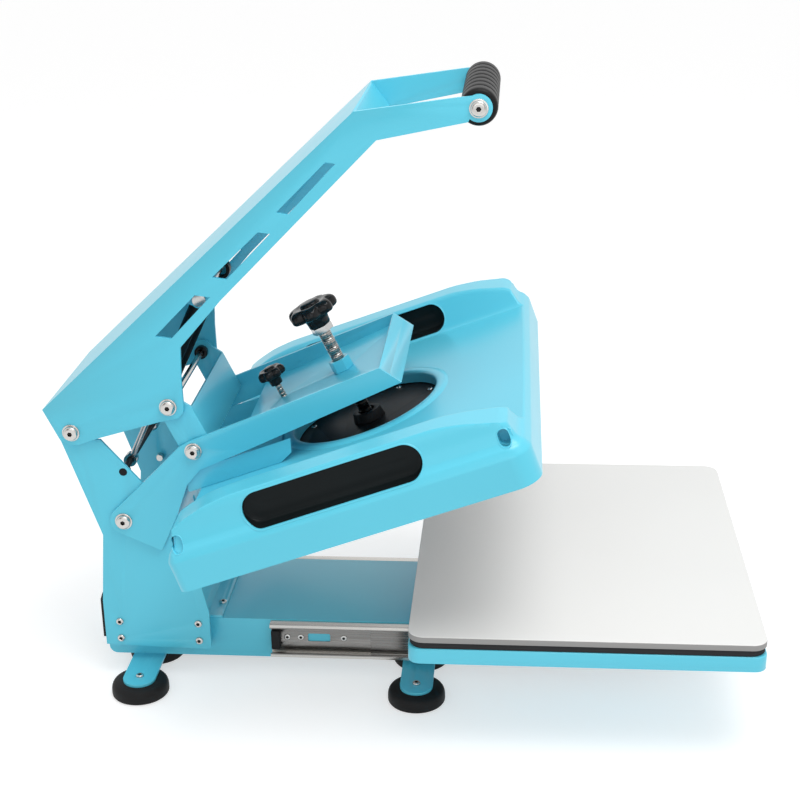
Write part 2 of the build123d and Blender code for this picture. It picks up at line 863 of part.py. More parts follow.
# Grip
grip_radius = 21.0
grip_core_radius = 18.0
grip_half_length = cheek_inner - slide_play
grip_rib_count = 11
grip_bar_radius = pivot_bolt_radius
grip_rib_share = 0.72
grip_rib_start = 0.12
grip_rib_bevel = 1.4
grip_rib_pitch = 2 * grip_half_length / grip_rib_count
with BuildPart() as grip:
    with BuildSketch(side_plane(grip_half_length)):
        with Locations(grip_centre):
            Circle(grip_core_radius)
            Circle(grip_bar_radius, mode=Mode.SUBTRACT)
    extrude(amount=2 * grip_half_length)
    for index in range(grip_rib_count):
        rib_y = grip_half_length - (index + grip_rib_start) * grip_rib_pitch
        with BuildSketch(side_plane(rib_y)):
            with Locations(grip_centre):
                Circle(grip_radius)
                Circle(grip_bar_radius, mode=Mode.SUBTRACT)
        extrude(amount=grip_rib_pitch * grip_rib_share)
    grip_rims = grip.edges().filter_by(GeomType.CIRCLE)
    rib_rims = grip_rims.filter_by(lambda rim: abs(rim.radius - grip_radius) < running_fit)
    chamfer(rib_rims, grip_rib_bevel)
shape("grip", grip.part)

with BuildPart() as grip_bar:
    with BuildSketch(side_plane(cheek_inner)):
        with Locations(grip_centre):
            Circle(grip_bar_radius)
    extrude(amount=2 * cheek_inner)
shape("grip_bar", grip_bar.part)


def pivot_washers(centres, face_y):
    """Washers on both outer faces at the given pivots."""
    with BuildPart() as washers:
        for side in (-1, 1):
            with BuildSketch(layer_plane(side, face_y, face_y + pivot_washer_thickness)):
                with Locations(*centres):
                    Circle(pivot_washer_radius)
                    Circle(pivot_bolt_radius, mode=Mode.SUBTRACT)
            extrude(amount=pivot_washer_thickness)
    return washers.part


def pivot_bolts(centres, face_y, shank_from):
    """Button-head bolts on both sides, shanks from shank_from outward to the head."""
    head_from = face_y + pivot_washer_thickness
    head_to = head_from + pivot_head_height
    with BuildPart() as bolts:
        for side in (-1, 1):
            with BuildSketch(layer_plane(side, shank_from, head_from)):
                with Locations(*centres):
                    Circle(pivot_bolt_radius)
            extrude(amount=head_from - shank_from)
            with BuildSketch(layer_plane(side, head_from, head_to)):
                with Locations(*centres):
                    Circle(pivot_head_radius)
            extrude(amount=pivot_head_height)
            with BuildSketch(layer_plane(side, head_to - hex_socket_depth, head_to)):
                with Locations(*centres):
                    RegularPolygon(hex_socket_across / 2, 6, major_radius=False)
            extrude(amount=hex_socket_depth, mode=Mode.SUBTRACT)
        rims = bolts.edges().filter_by(GeomType.CIRCLE)
        head_rims = rims.filter_by(lambda rim: abs(rim.radius - pivot_head_radius) < running_fit)
        fillet(head_rims.group_by(Axis.Y)[0] + head_rims.group_by(Axis.Y)[-1], pivot_head_round)
    return bolts.part


pivot_seat = cheek_outer + running_fit
bolt_inner_end = tower_inner - pivot_bolt_reach
tower_pivots = [handle_pivot, arm_pivot]
handle_pins = [link_top, grip_centre]
shape("tower_pivot_bolts", pivot_bolts(tower_pivots, pivot_seat, bolt_inner_end))
shape("tower_pivot_washers", pivot_washers(tower_pivots, pivot_seat))
with BuildPart() as tower_pivot_spacers:
    for side in (-1, 1):
        with BuildSketch(layer_plane(side, tower_outer, tower_outer + spacer_washer_thickness)):
            with Locations(*tower_pivots):
                Circle(spacer_washer_radius)
                Circle(pivot_bolt_radius, mode=Mode.SUBTRACT)
        extrude(amount=spacer_washer_thickness)
shape("tower_pivot_spacers", tower_pivot_spacers.part)
shape("handle_pin_bolts", pivot_bolts(handle_pins, cheek_outer, cheek_inner))
shape("handle_pin_washers", pivot_washers(handle_pins, cheek_outer))
shape("arm_pin_bolts", pivot_bolts([link_bottom], cheek_outer, cheek_inner))
shape("arm_pin_washers", pivot_washers([link_bottom], cheek_outer))

# Cross shaft of the toggle, held by the handle cheeks, with its plain bushings
link_shaft_radius = 4.0
link_eye_radius = 15.0
bushing_radius = 8.5
bushing_length = 8.0
with BuildPart() as link_shaft:
    with BuildSketch(side_plane(cheek_inner)):
        with Locations(link_top):
            Circle(link_shaft_radius)
    extrude(amount=2 * cheek_inner)
shape("link_shaft", link_shaft.part)

# Toggle link: two side plates and a web across the front
link_run = (link_bottom[0] - link_top[0], link_bottom[1] - link_top[1])
link_length = hypot(*link_run)
link_along = (link_run[0] / link_length, link_run[1] / link_length)
link_front = (-link_along[1], link_along[0])
web_offset = 23.0
web_from = 13.0
web_to = link_length + web_sheet


def link_point(along, front):
    """Point of the link outline, measured from its top pivot."""
    return (
        link_top[0] + link_along[0] * along + link_front[0] * front,
        link_top[1] + link_along[1] * along + link_front[1] * front,
    )


with BuildPart() as toggle_link:
    for side in (-1, 1):
        with BuildSketch(layer_plane(side, tower_inner, tower_outer)):
            with Locations(link_top, link_bottom):
                Circle(link_eye_radius)
            with BuildLine():
                Polyline(
                    link_point(0, -link_eye_radius),
                    link_point(link_length, -link_eye_radius),
                    link_point(web_to, web_offset),
                    link_point(web_from, web_offset),
                    link_point(0, link_eye_radius),
                    close=True,
                )
            make_face()
            with Locations(link_top):
                Circle(link_shaft_radius + running_fit, mode=Mode.SUBTRACT)
            with Locations(link_bottom):
                Circle(pivot_bolt_radius, mode=Mode.SUBTRACT)
        extrude(amount=tower_sheet)
    with BuildSketch(side_plane(tower_inner)):
        with BuildLine():
            Polyline(
                link_point(web_from, web_offset),
                link_point(web_to, web_offset),
                link_point(web_to, web_offset - web_sheet),
                link_point(web_from, web_offset - web_sheet),
                close=True,
            )
        make_face()
    extrude(amount=2 * tower_inner)
shape("toggle_link", toggle_link.part)

with BuildPart() as link_bushings:
    for side in (-1, 1):
        with BuildSketch(layer_plane(side, tower_inner - bushing_length, tower_inner)):
            with Locations(link_top):
                Circle(bushing_radius)
                Circle(link_shaft_radius + running_fit, mode=Mode.SUBTRACT)
        extrude(amount=bushing_length)
shape("link_bushings", link_bushings.part)

# Arm: two side plates, a sunk panel between them and a sloping end plate
arm_outline = [
    (-346.1, 227.5),
    (-306.4, 266.5),
    (-259.5, 314.0),
    (-244.7, 322.5),
    (-171.6, 353.4),
    (-19.2, 417.0),
    (6.6, 400.2),
    (-173.5, 314.2),
    (-234.9, 286.1),
    (-251.8, 266.3),
    (-265.2, 229.2),
    (-288.3, 178.5),
    (-338.4, 200.9),
]
arm_eye_radius = 17.0
panel_slope = (cos(radians(panel_tilt)), sin(radians(panel_tilt)))
panel_down = (panel_slope[1], -panel_slope[0])


def panel_at(x, depth):
    """Point of the panel at a given X on its top line, sunk by depth square to it."""
    rise = (x - panel_point[0]) * panel_slope[1] / panel_slope[0]
    return (x + panel_down[0] * depth, panel_point[1] + rise + panel_down[1] * depth)


arm_plate_sheet = cheek_sheet
end_top = arm_outline[5]
end_bottom = arm_outline[6]
end_length = hypot(end_bottom[0] - end_top[0], end_bottom[1] - end_top[1])
end_in = ((end_bottom[1] - end_top[1]) / end_length, -(end_bottom[0] - end_top[0]) / end_length)
with BuildPart() as arm_frame:
    for side in (-1, 1):
        with BuildSketch(layer_plane(side, cheek_inner, cheek_outer)):
            with BuildLine():
                Polyline(*arm_outline, close=True)
            make_face()
            with Locations(arm_pivot):
                Circle(arm_eye_radius)
                Circle(pivot_bolt_radius + running_fit, mode=Mode.SUBTRACT)
            with Locations(link_bottom):
                Circle(pivot_bolt_radius, mode=Mode.SUBTRACT)
        extrude(amount=arm_plate_sheet)
    with BuildSketch(side_plane(cheek_inner)):
        with BuildLine():
            Polyline(
                panel_at(panel_rear_x, 0.0),
                panel_at(panel_front_x, 0.0),
                panel_at(panel_front_x, web_sheet),
                panel_at(panel_rear_x, web_sheet),
                close=True,
            )
        make_face()
        with BuildLine():
            Polyline(
                end_top,
                end_bottom,
                (end_bottom[0] + end_in[0] * web_sheet, end_bottom[1] + end_in[1] * web_sheet),
                (end_top[0] + end_in[0] * web_sheet, end_top[1] + end_in[1] * web_sheet),
                close=True,
            )
        make_face()
    extrude(amount=2 * cheek_inner)
    with BuildSketch(screw_plane(pressure_point, -pressure_knob_base)):
        Circle(pressure_stud_radius + running_fit)
    extrude(amount=pressure_knob_base, mode=Mode.SUBTRACT)
    with BuildSketch(screw_plane(small_point, -small_stud_reach)):
        Circle(small_stud_radius + running_fit)
    extrude(amount=2 * small_stud_reach, mode=Mode.SUBTRACT)
shape("arm_frame", arm_frame.part)

# Nut on the panel for the pressure screw and the one under the small knob
nut_flat_radius = 12.0
pressure_nut_height = 15.0


def above_panel(point):
    """Height of a point above the top face of the arm panel."""
    return (point[0] - panel_point[0]) * -panel_slope[1] + (point[1] - panel_point[1]) * panel_slope[0]


pressure_nut_bottom = -above_panel(pressure_point)
with BuildPart() as pressure_nut:
    with BuildSketch(screw_plane(pressure_point, pressure_nut_bottom)):
        RegularPolygon(nut_flat_radius, 6, major_radius=False)
        Circle(pressure_stud_radius + running_fit, mode=Mode.SUBTRACT)
    extrude(amount=pressure_nut_height)
shape("pressure_nut", pressure_nut.part)

# Pressure screw and its star knob
lobe_count = 7
knob_bore_depth = 6.0
stud_bottom_along = -81.5
with BuildPart() as pressure_screw:
    with BuildSketch(screw_plane(pressure_point, stud_bottom_along)):
        Circle(pressure_stud_radius)
    extrude(amount=pressure_knob_base + knob_bore_depth - stud_bottom_along)
shape("pressure_screw", pressure_screw.part)

jam_nut_height = 8.0
jam_nut_below = 8.5
with BuildPart() as pressure_jam_nut:
    with BuildSketch(screw_plane(pressure_point, pressure_knob_base - jam_nut_below)):
        RegularPolygon(nut_flat_radius, 6, major_radius=False)
        Circle(pressure_stud_radius, mode=Mode.SUBTRACT)
    extrude(amount=jam_nut_height)
shape("pressure_jam_nut", pressure_jam_nut.part)


def star_knob(point, base_along, radius, height, stud_radius):
    """Star knob: a hub under a domed head with rounded lobes."""
    with BuildPart() as knob:
        with BuildSketch(screw_plane(point, base_along)):
            Circle(radius * 0.45)
        extrude(amount=height * 0.4, taper=-8)
        with BuildSketch(screw_plane(point, base_along + height * 0.35)):
            Circle(radius * 0.78)
            with PolarLocations(radius * 0.76, lobe_count):
                Circle(radius * 0.24)
        extrude(amount=height * 0.5)
        with BuildSketch(screw_plane(point, base_along + height * 0.85)):
            Circle(radius * 0.7)
        extrude(amount=height * 0.15, taper=30)
        with BuildSketch(screw_plane(point, base_along)):
            Circle(stud_radius)
        extrude(amount=knob_bore_depth, mode=Mode.SUBTRACT)
    return knob.part


shape(
    "pressure_knob",
    star_knob(
        pressure_point,
        pressure_knob_base,
        pressure_knob_radius,
        pressure_knob_height,
        pressure_stud_radius,
    ),
)

# Small knob on its own stud behind the pressure screw
small_nut_height = 6.5
small_nut_radius = 6.5
small_nut_bottom = -above_panel(small_point) - web_sheet - small_nut_height
with BuildPart() as small_nut:
    with BuildSketch(screw_plane(small_point, small_nut_bottom)):
        RegularPolygon(small_nut_radius, 6, major_radius=False)
        Circle(small_stud_radius + running_fit, mode=Mode.SUBTRACT)
    extrude(amount=small_nut_height)
shape("small_nut", small_nut.part)
with BuildPart() as small_screw:
    with BuildSketch(screw_plane(small_point, -small_stud_reach)):
        Circle(small_stud_radius)
    extrude(amount=small_stud_reach + small_knob_base + knob_bore_depth)
shape("small_screw", small_screw.part)
shape(
    "small_knob",
    star_knob(small_point, small_knob_base, small_knob_radius, small_knob_height, small_stud_radius),
)


def cover_profile(inset):
    """Side outline of a hump as u and v, drawn smaller by the inset."""
    rear = [(cover_rear + inset + u, v - inset) for u, v in hump_rear_profile]
    front = [(cover_front - inset - u, v - inset) for u, v in hump_front_profile]
    return [(cover_rear + inset, -inset), *rear, *front, (cover_front - inset, -inset)]


def cover_section(side, inset):
    """Outline across a hump as Y and v, drawn smaller by the inset."""
    outer = [(cover_half_width - inset - d, v - inset) for d, v in hump_outer_section]
    inner = [(cover_half_width + inset - d, v - inset) for d, v in hump_inner_section]
    outline = [(cover_half_width - inset, -inset), *outer, *inner, (hump_foot_inner + inset, -inset)]
    return [(side * y, v) for y, v in outline]


def cover_hump(side, inset):
    """One raised side of the cover as a solid block."""
    with BuildPart() as hump:
        with BuildSketch(head_side_plane(cover_half_width)):
            with BuildLine():
                Polyline(*cover_profile(inset), close=True)
            make_face()
        extrude(amount=2 * cover_half_width)
        with BuildSketch(head_section_plane(cover_rear)):
            with BuildLine():
                Polyline(*cover_section(side, inset), close=True)
            make_face()
        extrude(amount=cover_length, mode=Mode.INTERSECT)
    return hump.part


def cover_block(inset, deck):
    """Whole cover as a solid block: a low pan with a hump along each side."""
    with BuildPart() as block:
        with BuildSketch(head_side_plane(cover_half_width)):
            with BuildLine():
                Polyline(
                    (cover_rear + inset, -inset),
                    (cover_rear + inset, cover_fold - inset),
                    (cover_rear + inset + deck_slope, deck),
                    (cover_front - inset - deck_slope, deck),
                    (cover_front - inset, cover_fold - inset),
                    (cover_front - inset, -inset),
                    close=True,
                )
            make_face()
        extrude(amount=2 * cover_half_width)
        add(cover_hump(-1, inset))
        add(cover_hump(1, inset))
        with BuildSketch(head_plane(-inset)) as outline:
            with Locations(((cover_rear + cover_front) / 2, 0)):
                Rectangle(cover_length - 2 * inset, 2 * (cover_half_width - inset))
            corners = outline.vertices().sort_by(Axis.X)
            fillet(corners[:2], cover_rear_corner - inset)
            fillet(corners[2:], cover_corner - inset)
        extrude(amount=hump_top + inset, mode=Mode.INTERSECT)
    return block.part


# Head cover
recess_spots = [
    (cover_rear + recess_inset_rear, recess_level_rear),
    (cover_front - recess_inset_front, recess_level_front),
]
with BuildPart() as head_cover:
    add(cover_block(0.0, cover_deck))
    with BuildSketch(head_plane(cover_deck)):
        with Locations((opening_centre_u, 0)):
            Circle(opening_radius + ring_width)
    extrude(amount=ring_height, taper=ring_slope)
    add(cover_block(cover_wall, cover_deck - cover_wall), mode=Mode.SUBTRACT)
    with BuildSketch(head_plane(shield_top + collar_gap)):
        with Locations((opening_centre_u, 0)):
            Circle(opening_radius + cover_wall)
    extrude(amount=cover_deck - shield_top - collar_gap)
    with BuildSketch(head_plane(shield_top)):
        with Locations((opening_centre_u, 0)):
            Circle(opening_radius)
    extrude(amount=through_cut, mode=Mode.SUBTRACT)
    for side in (-1, 1):
        with BuildSketch(head_side_plane(-hump_foot_inner if side < 0 else cover_half_width)):
            with Locations((window_middle_u, window_level)):
                SlotOverall(window_length, window_height)
        extrude(amount=hump_width, mode=Mode.SUBTRACT)
        with BuildSketch(head_side_plane(recess_reach - cover_half_width if side < 0 else cover_half_width)):
            with Locations(*recess_spots):
                SlotOverall(recess_height, recess_width, rotation=90)
        extrude(amount=recess_reach, mode=Mode.SUBTRACT)
shape("head_cover", head_cover.part)


# Cups behind the four recesses in the cover
cup_inset = 17.0
cup_length = 14.0
cup_outer_face = cover_half_width - cup_inset
cup_inner_face = cup_outer_face - cup_length
with BuildPart() as cover_recess_cups:
    for side in (-1, 1):
        with BuildSketch(head_side_plane(-cup_inner_face if side < 0 else cup_outer_face)):
            with Locations(*recess_spots):
                SlotOverall(recess_height + 2 * cover_wall, recess_width + 2 * cover_wall, rotation=90)
        extrude(amount=cup_outer_face - cup_inner_face)
    add(cover_block(cover_wall, cover_deck - cover_wall), mode=Mode.INTERSECT)
    for side in (-1, 1):
        with BuildSketch(head_side_plane(-cup_inner_face - cover_wall if side < 0 else cup_outer_face)):
            with Locations(*recess_spots):
                SlotOverall(recess_height, recess_width, rotation=90)
        extrude(amount=cup_outer_face - cup_inner_face - cover_wall, mode=Mode.SUBTRACT)
shape("cover_recess_cups", cover_recess_cups.part)

# Black liners behind the cover windows
liner_inset = 25.5
liner_depth = 25.5
liner_outer = cover_half_width - liner_inset
liner_inner = liner_outer - liner_depth
liner_width = liner_outer - liner_inner
liner_margin = 5.0
liner_length = window_length + 2 * liner_margin
liner_top = hump_top - 5.5
liner_sheet = 1.5
liner_corner = 12.0
liner_spots = [(window_middle_u, side * (liner_inner + liner_outer) / 2) for side in (-1, 1)]
with BuildPart() as window_liners:
    with BuildSketch(head_plane(shield_top)):
        with Locations(*liner_spots):
            RectangleRounded(liner_length, liner_width, liner_corner)
    extrude(amount=liner_top - shield_top)
    with BuildSketch(head_plane(shield_top)):
        with Locations(*liner_spots):
            RectangleRounded(
                liner_length - 2 * liner_sheet,
                liner_width - 2 * liner_sheet,
                liner_corner - liner_sheet,
            )
    extrude(amount=liner_top - shield_top - liner_sheet, mode=Mode.SUBTRACT)
shape("window_liners", window_liners.part)

# Heat platen with its heater, insulation and shield plate
post_spots = [(heat_centre_u + du, dy) for du in (-post_u, post_u) for dy in (-post_y, post_y)]
with BuildPart() as heat_platen:
    with BuildSketch(head_plane(heat_bottom)):
        with Locations((heat_centre_u, 0)):
            RectangleRounded(heat_length, heat_width, stack_corner)
    extrude(amount=heat_top - heat_bottom)
    with BuildSketch(head_plane(heat_top - post_seat)):
        with Locations(*post_spots):
            Circle(post_radius)
    extrude(amount=post_seat, mode=Mode.SUBTRACT)
shape("heat_platen", heat_platen.part)


def stack_layer(low, high, margin, screw_spots):
    """Sheet of the heat stack with holes for the four posts and any small screws."""
    with BuildPart() as layer:
        with BuildSketch(head_plane(low)):
            with Locations((heat_centre_u, 0)):
                RectangleRounded(heat_length - 2 * margin, heat_width - 2 * margin, stack_corner)
            with Locations(*post_spots):
                Circle(post_radius, mode=Mode.SUBTRACT)
            for spot in screw_spots:
                with Locations(spot):
                    Circle(screw_radius, mode=Mode.SUBTRACT)
        extrude(amount=high - low)
    return layer.part


shape("heater_sheet", stack_layer(heat_top, heater_top, heater_margin, []))
shape("insulation_blanket", stack_layer(heater_top, insulation_top, blanket_margin, []))

shield_screw_spots = []
for index in range(shield_screw_count):
    angle = 2 * pi * (index + 0.5) / shield_screw_count
    shield_screw_spots.append(
        (opening_centre_u + shield_screw_ring * cos(angle), shield_screw_ring * sin(angle))
    )
standoff_u = 175.0
standoff_y = 150.0
standoff_radius = 7.0
standoff_spots = []
for standoff_side in (-standoff_y, standoff_y):
    standoff_spots.append((heat_centre_u - standoff_u, standoff_side))
    standoff_spots.append((heat_centre_u + standoff_u, standoff_side))
shape("shield_plate", stack_layer(insulation_top, shield_top, 0.0, shield_screw_spots))

with BuildPart() as stack_posts:
    with BuildSketch(head_plane(heat_top - post_seat)):
        with Locations(*post_spots):
            Circle(post_radius)
    extrude(amount=shield_top - heat_top + post_seat)
    with BuildSketch(head_plane(shield_top)):
        with Locations(*post_spots):
            RegularPolygon(post_nut_radius, 6, major_radius=False)
    extrude(amount=post_nut_height)
shape("stack_posts", stack_posts.part)

with BuildPart() as shield_screws:
    with BuildSketch(head_plane(insulation_top)):
        with Locations(*shield_screw_spots):
            Circle(screw_radius)
    extrude(amount=shield_top - insulation_top)
    with BuildSketch(head_plane(shield_top)):
        with Locations(*shield_screw_spots):
            Circle(screw_head_radius * 0.8)
    extrude(amount=shield_screw_head)
shape("shield_screws", shield_screws.part)

with BuildPart() as cover_standoffs:
    with BuildSketch(head_plane(shield_top)):
        with Locations(*standoff_spots):
            Circle(standoff_radius)
    extrude(amount=cover_deck - cover_wall - shield_top)
shape("cover_standoffs", cover_standoffs.part)

# Socket on the shield plate that takes the end of the pressure screw
hub_radius = 20.0
hub_height = 12.0
hub_socket_radius = 10.5
hub_floor = 3.0
hub_taper = 12
with BuildPart() as pressure_hub:
    with BuildSketch(head_plane(shield_top)):
        with Locations((opening_centre_u, 0)):
            Circle(hub_radius)
    extrude(amount=hub_height, taper=hub_taper)
    with BuildSketch(head_plane(shield_top + hub_floor)):
        with Locations((opening_centre_u, 0)):
            Circle(hub_socket_radius)
    extrude(amount=hub_height - hub_floor, mode=Mode.SUBTRACT)
shape("pressure_hub", pressure_hub.part)

# Carrier on the cover deck whose sides slide inside the arm plates
carrier_sheet = 3.0
carrier_outer = cheek_inner - slide_play
carrier_rear = -12.0
carrier_front = 108.0
carrier_top = 70.5
carrier_nose = 22.0
carrier_nose_rise = 8.0
carrier_heel = 6.0
carrier_heel_rise = 20.0
with BuildPart() as head_carrier:
    with BuildSketch(head_plane(cover_deck)):
        with Locations(((carrier_rear + carrier_front) / 2, 0)):
            Rectangle(carrier_front - carrier_rear, 2 * carrier_outer)
        with Locations((opening_centre_u, 0)):
            Circle(opening_radius + ring_width + slide_play, mode=Mode.SUBTRACT)
    extrude(amount=carrier_sheet)
    for side in (-1, 1):
        with BuildSketch(head_side_plane(carrier_outer if side > 0 else -(carrier_outer - carrier_sheet))):
            with BuildLine():
                Polyline(
                    (carrier_rear, cover_deck),
                    (carrier_front, cover_deck),
                    (carrier_front + carrier_nose * 0.75, cover_deck + carrier_nose_rise),
                    (carrier_front + carrier_nose, carrier_top),
                    (carrier_rear + carrier_heel, carrier_top),
                    (carrier_rear, cover_deck + carrier_heel_rise),
                    close=True,
                )
            make_face()
        extrude(amount=carrier_sheet)
shape("head_carrier", head_carrier.part)

# Gas springs between the tower and the handle
spring_y = 59.0
spring_run = hypot(spring_top[0] - spring_bottom[0], spring_top[1] - spring_bottom[1])
spring_eye_radius = 8.0
spring_rod_radius = 3.5
spring_body_radius = 9.0
spring_body_wall = 1.5
spring_body_start = 62.0
spring_rod_start = spring_pin_radius + running_fit
spring_rod_end = 166.0
spring_eye_half = 6.0
upper_eye_play = 5.0
upper_eye_wall = 4.0
spring_end_gap = 11.0
spring_body_end = spring_run - spring_end_gap
with BuildPart() as spring_lower_shaft:
    with BuildSketch(side_plane(tower_inner)):
        with Locations(spring_bottom):
            Circle(spring_pin_radius)
    extrude(amount=2 * tower_inner)
    for side in (-1, 1):
        with BuildSketch(layer_plane(side, tower_inner - spring_pin_radius, tower_inner)):
            with Locations(spring_bottom):
                Circle(spring_eye_radius)
        extrude(amount=spring_pin_radius)
        with BuildSketch(layer_plane(side, tower_inner, tower_outer)):
            with Locations(spring_bottom):
                Circle(pivot_bolt_radius)
        extrude(amount=tower_sheet)
shape("spring_lower_shaft", spring_lower_shaft.part)

with BuildPart() as spring_upper_shaft:
    with BuildSketch(side_plane(lug_inner + lug_sheet)):
        with Locations(spring_top):
            Circle(spring_pin_radius)
    extrude(amount=2 * (lug_inner + lug_sheet))
    for side in (-1, 1):
        with BuildSketch(layer_plane(side, lug_outer, lug_outer + spring_pin_radius)):
            with Locations(spring_top):
                Circle(spring_eye_radius)
        extrude(amount=spring_pin_radius)
shape("spring_upper_shaft", spring_upper_shaft.part)

with BuildPart() as gas_spring_rods:
    for side in (-1, 1):
        with BuildSketch(side_plane(side * spring_y + spring_eye_half)):
            with Locations(spring_bottom):
                Circle(spring_eye_radius)
        extrude(amount=2 * spring_eye_half)
        with BuildSketch(axis_plane(spring_bottom, spring_top, side * spring_y, spring_rod_start)):
            Circle(spring_rod_radius)
        extrude(amount=spring_rod_end - spring_rod_start)
        with BuildSketch(side_plane(side * spring_y + spring_eye_half)):
            with Locations(spring_bottom):
                Circle(spring_pin_radius + running_fit)
        extrude(amount=2 * spring_eye_half, mode=Mode.SUBTRACT)
shape("gas_spring_rods", gas_spring_rods.part)

with BuildPart() as gas_spring_cylinders:
    for side in (-1, 1):
        with BuildSketch(axis_plane(spring_bottom, spring_top, side * spring_y, spring_body_start)):
            Circle(spring_body_radius)
        extrude(amount=spring_body_end - spring_body_start)
        with BuildSketch(side_plane(side * spring_y + spring_eye_half)):
            with Locations(spring_top):
                Circle(spring_pin_radius + upper_eye_play + upper_eye_wall)
        extrude(amount=2 * spring_eye_half)
        with BuildSketch(side_plane(side * spring_y + spring_eye_half)):
            with Locations(spring_top):
                Circle(spring_pin_radius + upper_eye_play)
        extrude(amount=2 * spring_eye_half, mode=Mode.SUBTRACT)
        with BuildSketch(axis_plane(spring_bottom, spring_top, side * spring_y, spring_body_start)):
            Circle(spring_rod_radius + running_fit)
        extrude(amount=spring_body_end - spring_body_start - spring_body_wall * 2, mode=Mode.SUBTRACT)
shape("gas_spring_cylinders", gas_spring_cylinders.part)
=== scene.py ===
# %% [markdown]
# # A flat heat press, dressed for the camera
# The construction already exists as measured solids. This lesson turns each of them into
# something that looks made: folded sheet with soft edges, powder coat, rubber, plated steel.
# Everything is in metres and in the solids' own frame, so no piece is ever nudged into place.

# %% Open the built model
import bpy
import bmesh
import math
import numpy as np
from mathutils import Matrix, Vector


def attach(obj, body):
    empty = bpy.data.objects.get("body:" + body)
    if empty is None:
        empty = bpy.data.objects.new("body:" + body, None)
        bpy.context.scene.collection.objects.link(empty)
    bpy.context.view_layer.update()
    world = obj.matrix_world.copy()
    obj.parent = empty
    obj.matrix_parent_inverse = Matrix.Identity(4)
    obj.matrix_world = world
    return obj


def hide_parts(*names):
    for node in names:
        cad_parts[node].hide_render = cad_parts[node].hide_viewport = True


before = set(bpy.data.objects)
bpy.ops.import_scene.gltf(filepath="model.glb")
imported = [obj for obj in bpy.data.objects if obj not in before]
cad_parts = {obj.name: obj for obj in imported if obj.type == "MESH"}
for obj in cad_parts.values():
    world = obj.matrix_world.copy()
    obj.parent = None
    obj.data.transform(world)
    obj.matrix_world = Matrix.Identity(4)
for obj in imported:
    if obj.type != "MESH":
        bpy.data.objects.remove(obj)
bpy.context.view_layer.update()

# %% [markdown]
# ## Two ways of writing a place
# Sizes on a drawing of a press are millimetres, and Blender works in metres. The head is
# raised and tilted, so its pieces are easier to say in the head's own directions: u runs
# along it from the rear, y across, v square to its face. One small function turns those
# three numbers into a real place, which is clearer than rotating objects afterwards. The
# two screws lean back a little more than the head, so they share the same function.

# %% Millimetres and the head's own directions
MM = 0.001
HEAD_TILT = math.radians(19.8)
HEAD_START = (-224.5, 216.2)
SCREW_TILT = math.radians(25.7)


def place(x, y, z):
    return Vector((x * MM, y * MM, z * MM))


def tilted(origin, tilt, along, y, up):
    c, s = math.cos(tilt), math.sin(tilt)
    return place(origin[0] + along * c - up * s, y, origin[1] + along * s + up * c)


def on_head(u, y, v):
    return tilted(HEAD_START, HEAD_TILT, u, y, v)


HEAD_UP = Vector((-math.sin(HEAD_TILT), 0, math.cos(HEAD_TILT)))
SCREW_UP = Vector((-math.sin(SCREW_TILT), 0, math.cos(SCREW_TILT)))
print("front edge of the head", [round(c, 3) for c in on_head(416, 0, 0)])

# %% [markdown]
# ## Meshes from points, and meshes to keep
# A few helpers do the bookkeeping for every piece. One makes an object from points and
# faces. One evaluates all modifiers and keeps the plain result, because a finished piece
# should carry its true shape. One smooths the shading but leaves folds of more than a given
# angle crisp, as on bent sheet. The last one gives the piece its finish, hangs it on its body
# and hides the solids that it stands for.

# %% Make, keep and shade
scene = bpy.context.scene


def put_in_scene(name, data):
    thing = bpy.data.objects.new(name, data)
    scene.collection.objects.link(thing)
    return thing


def make_object(name, points, faces):
    mesh = bpy.data.meshes.new(name)
    mesh.from_pydata([tuple(p) for p in points], [], faces)
    mesh.update()
    return put_in_scene(name, mesh)


def keep_result(thing):
    graph = bpy.context.evaluated_depsgraph_get()
    result = bpy.data.meshes.new_from_object(thing.evaluated_get(graph), depsgraph=graph)
    thing.modifiers.clear()
    thing.data = result
    return thing


def shade(thing, angle):
    thing.data.shade_smooth()
    thing.data.set_sharp_from_angle(angle=math.radians(angle))
    return thing


def outward(thing, merge=1e-6):
    work = bmesh.new()
    work.from_mesh(thing.data)
    bmesh.ops.remove_doubles(work, verts=work.verts, dist=merge)
    bmesh.ops.recalc_face_normals(work, faces=work.faces)
    work.to_mesh(thing.data)
    work.free()
    return thing


def add_wall(thing, thickness, offset):
    wall = thing.modifiers.new("wall", "SOLIDIFY")
    wall.thickness = thickness * MM
    wall.offset = offset
    return keep_result(thing)


def dress(thing, body, slot, coat, *nodes):
    if coat is not None:
        thing.data.materials.clear()
        thing.data.materials.append(coat)
    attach(thing, body)
    if nodes:
        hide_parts(*nodes)
    print(f"{thing.name}: {len(thing.data.polygons)} faces")
    return thing


# %% [markdown]
# ## Effects that several finishes share
# Paint, rubber and plated steel look different, yet each has the same kinds of fault: a fine
# skin, slow clouds of tone, and streaks along the direction it was rolled or brushed. Each
# effect is a small node group with named inputs, built once and set differently in every
# finish. The alternative, copying nodes into each material, soon drifts apart.

# %% Helpers for node trees
def plug(tree, socket, value):
    """Link another socket into this one, or write a plain value on it."""
    if hasattr(value, "is_output"):
        tree.links.new(value, socket)
    else:
        socket.default_value = value


def add_node(tree, kind, inputs=(), **settings):
    node = tree.nodes.new(kind)
    for name, value in settings.items():
        setattr(node, name, value)
    for socket, value in dict(inputs).items():
        plug(tree, node.inputs[socket], value)
    return node


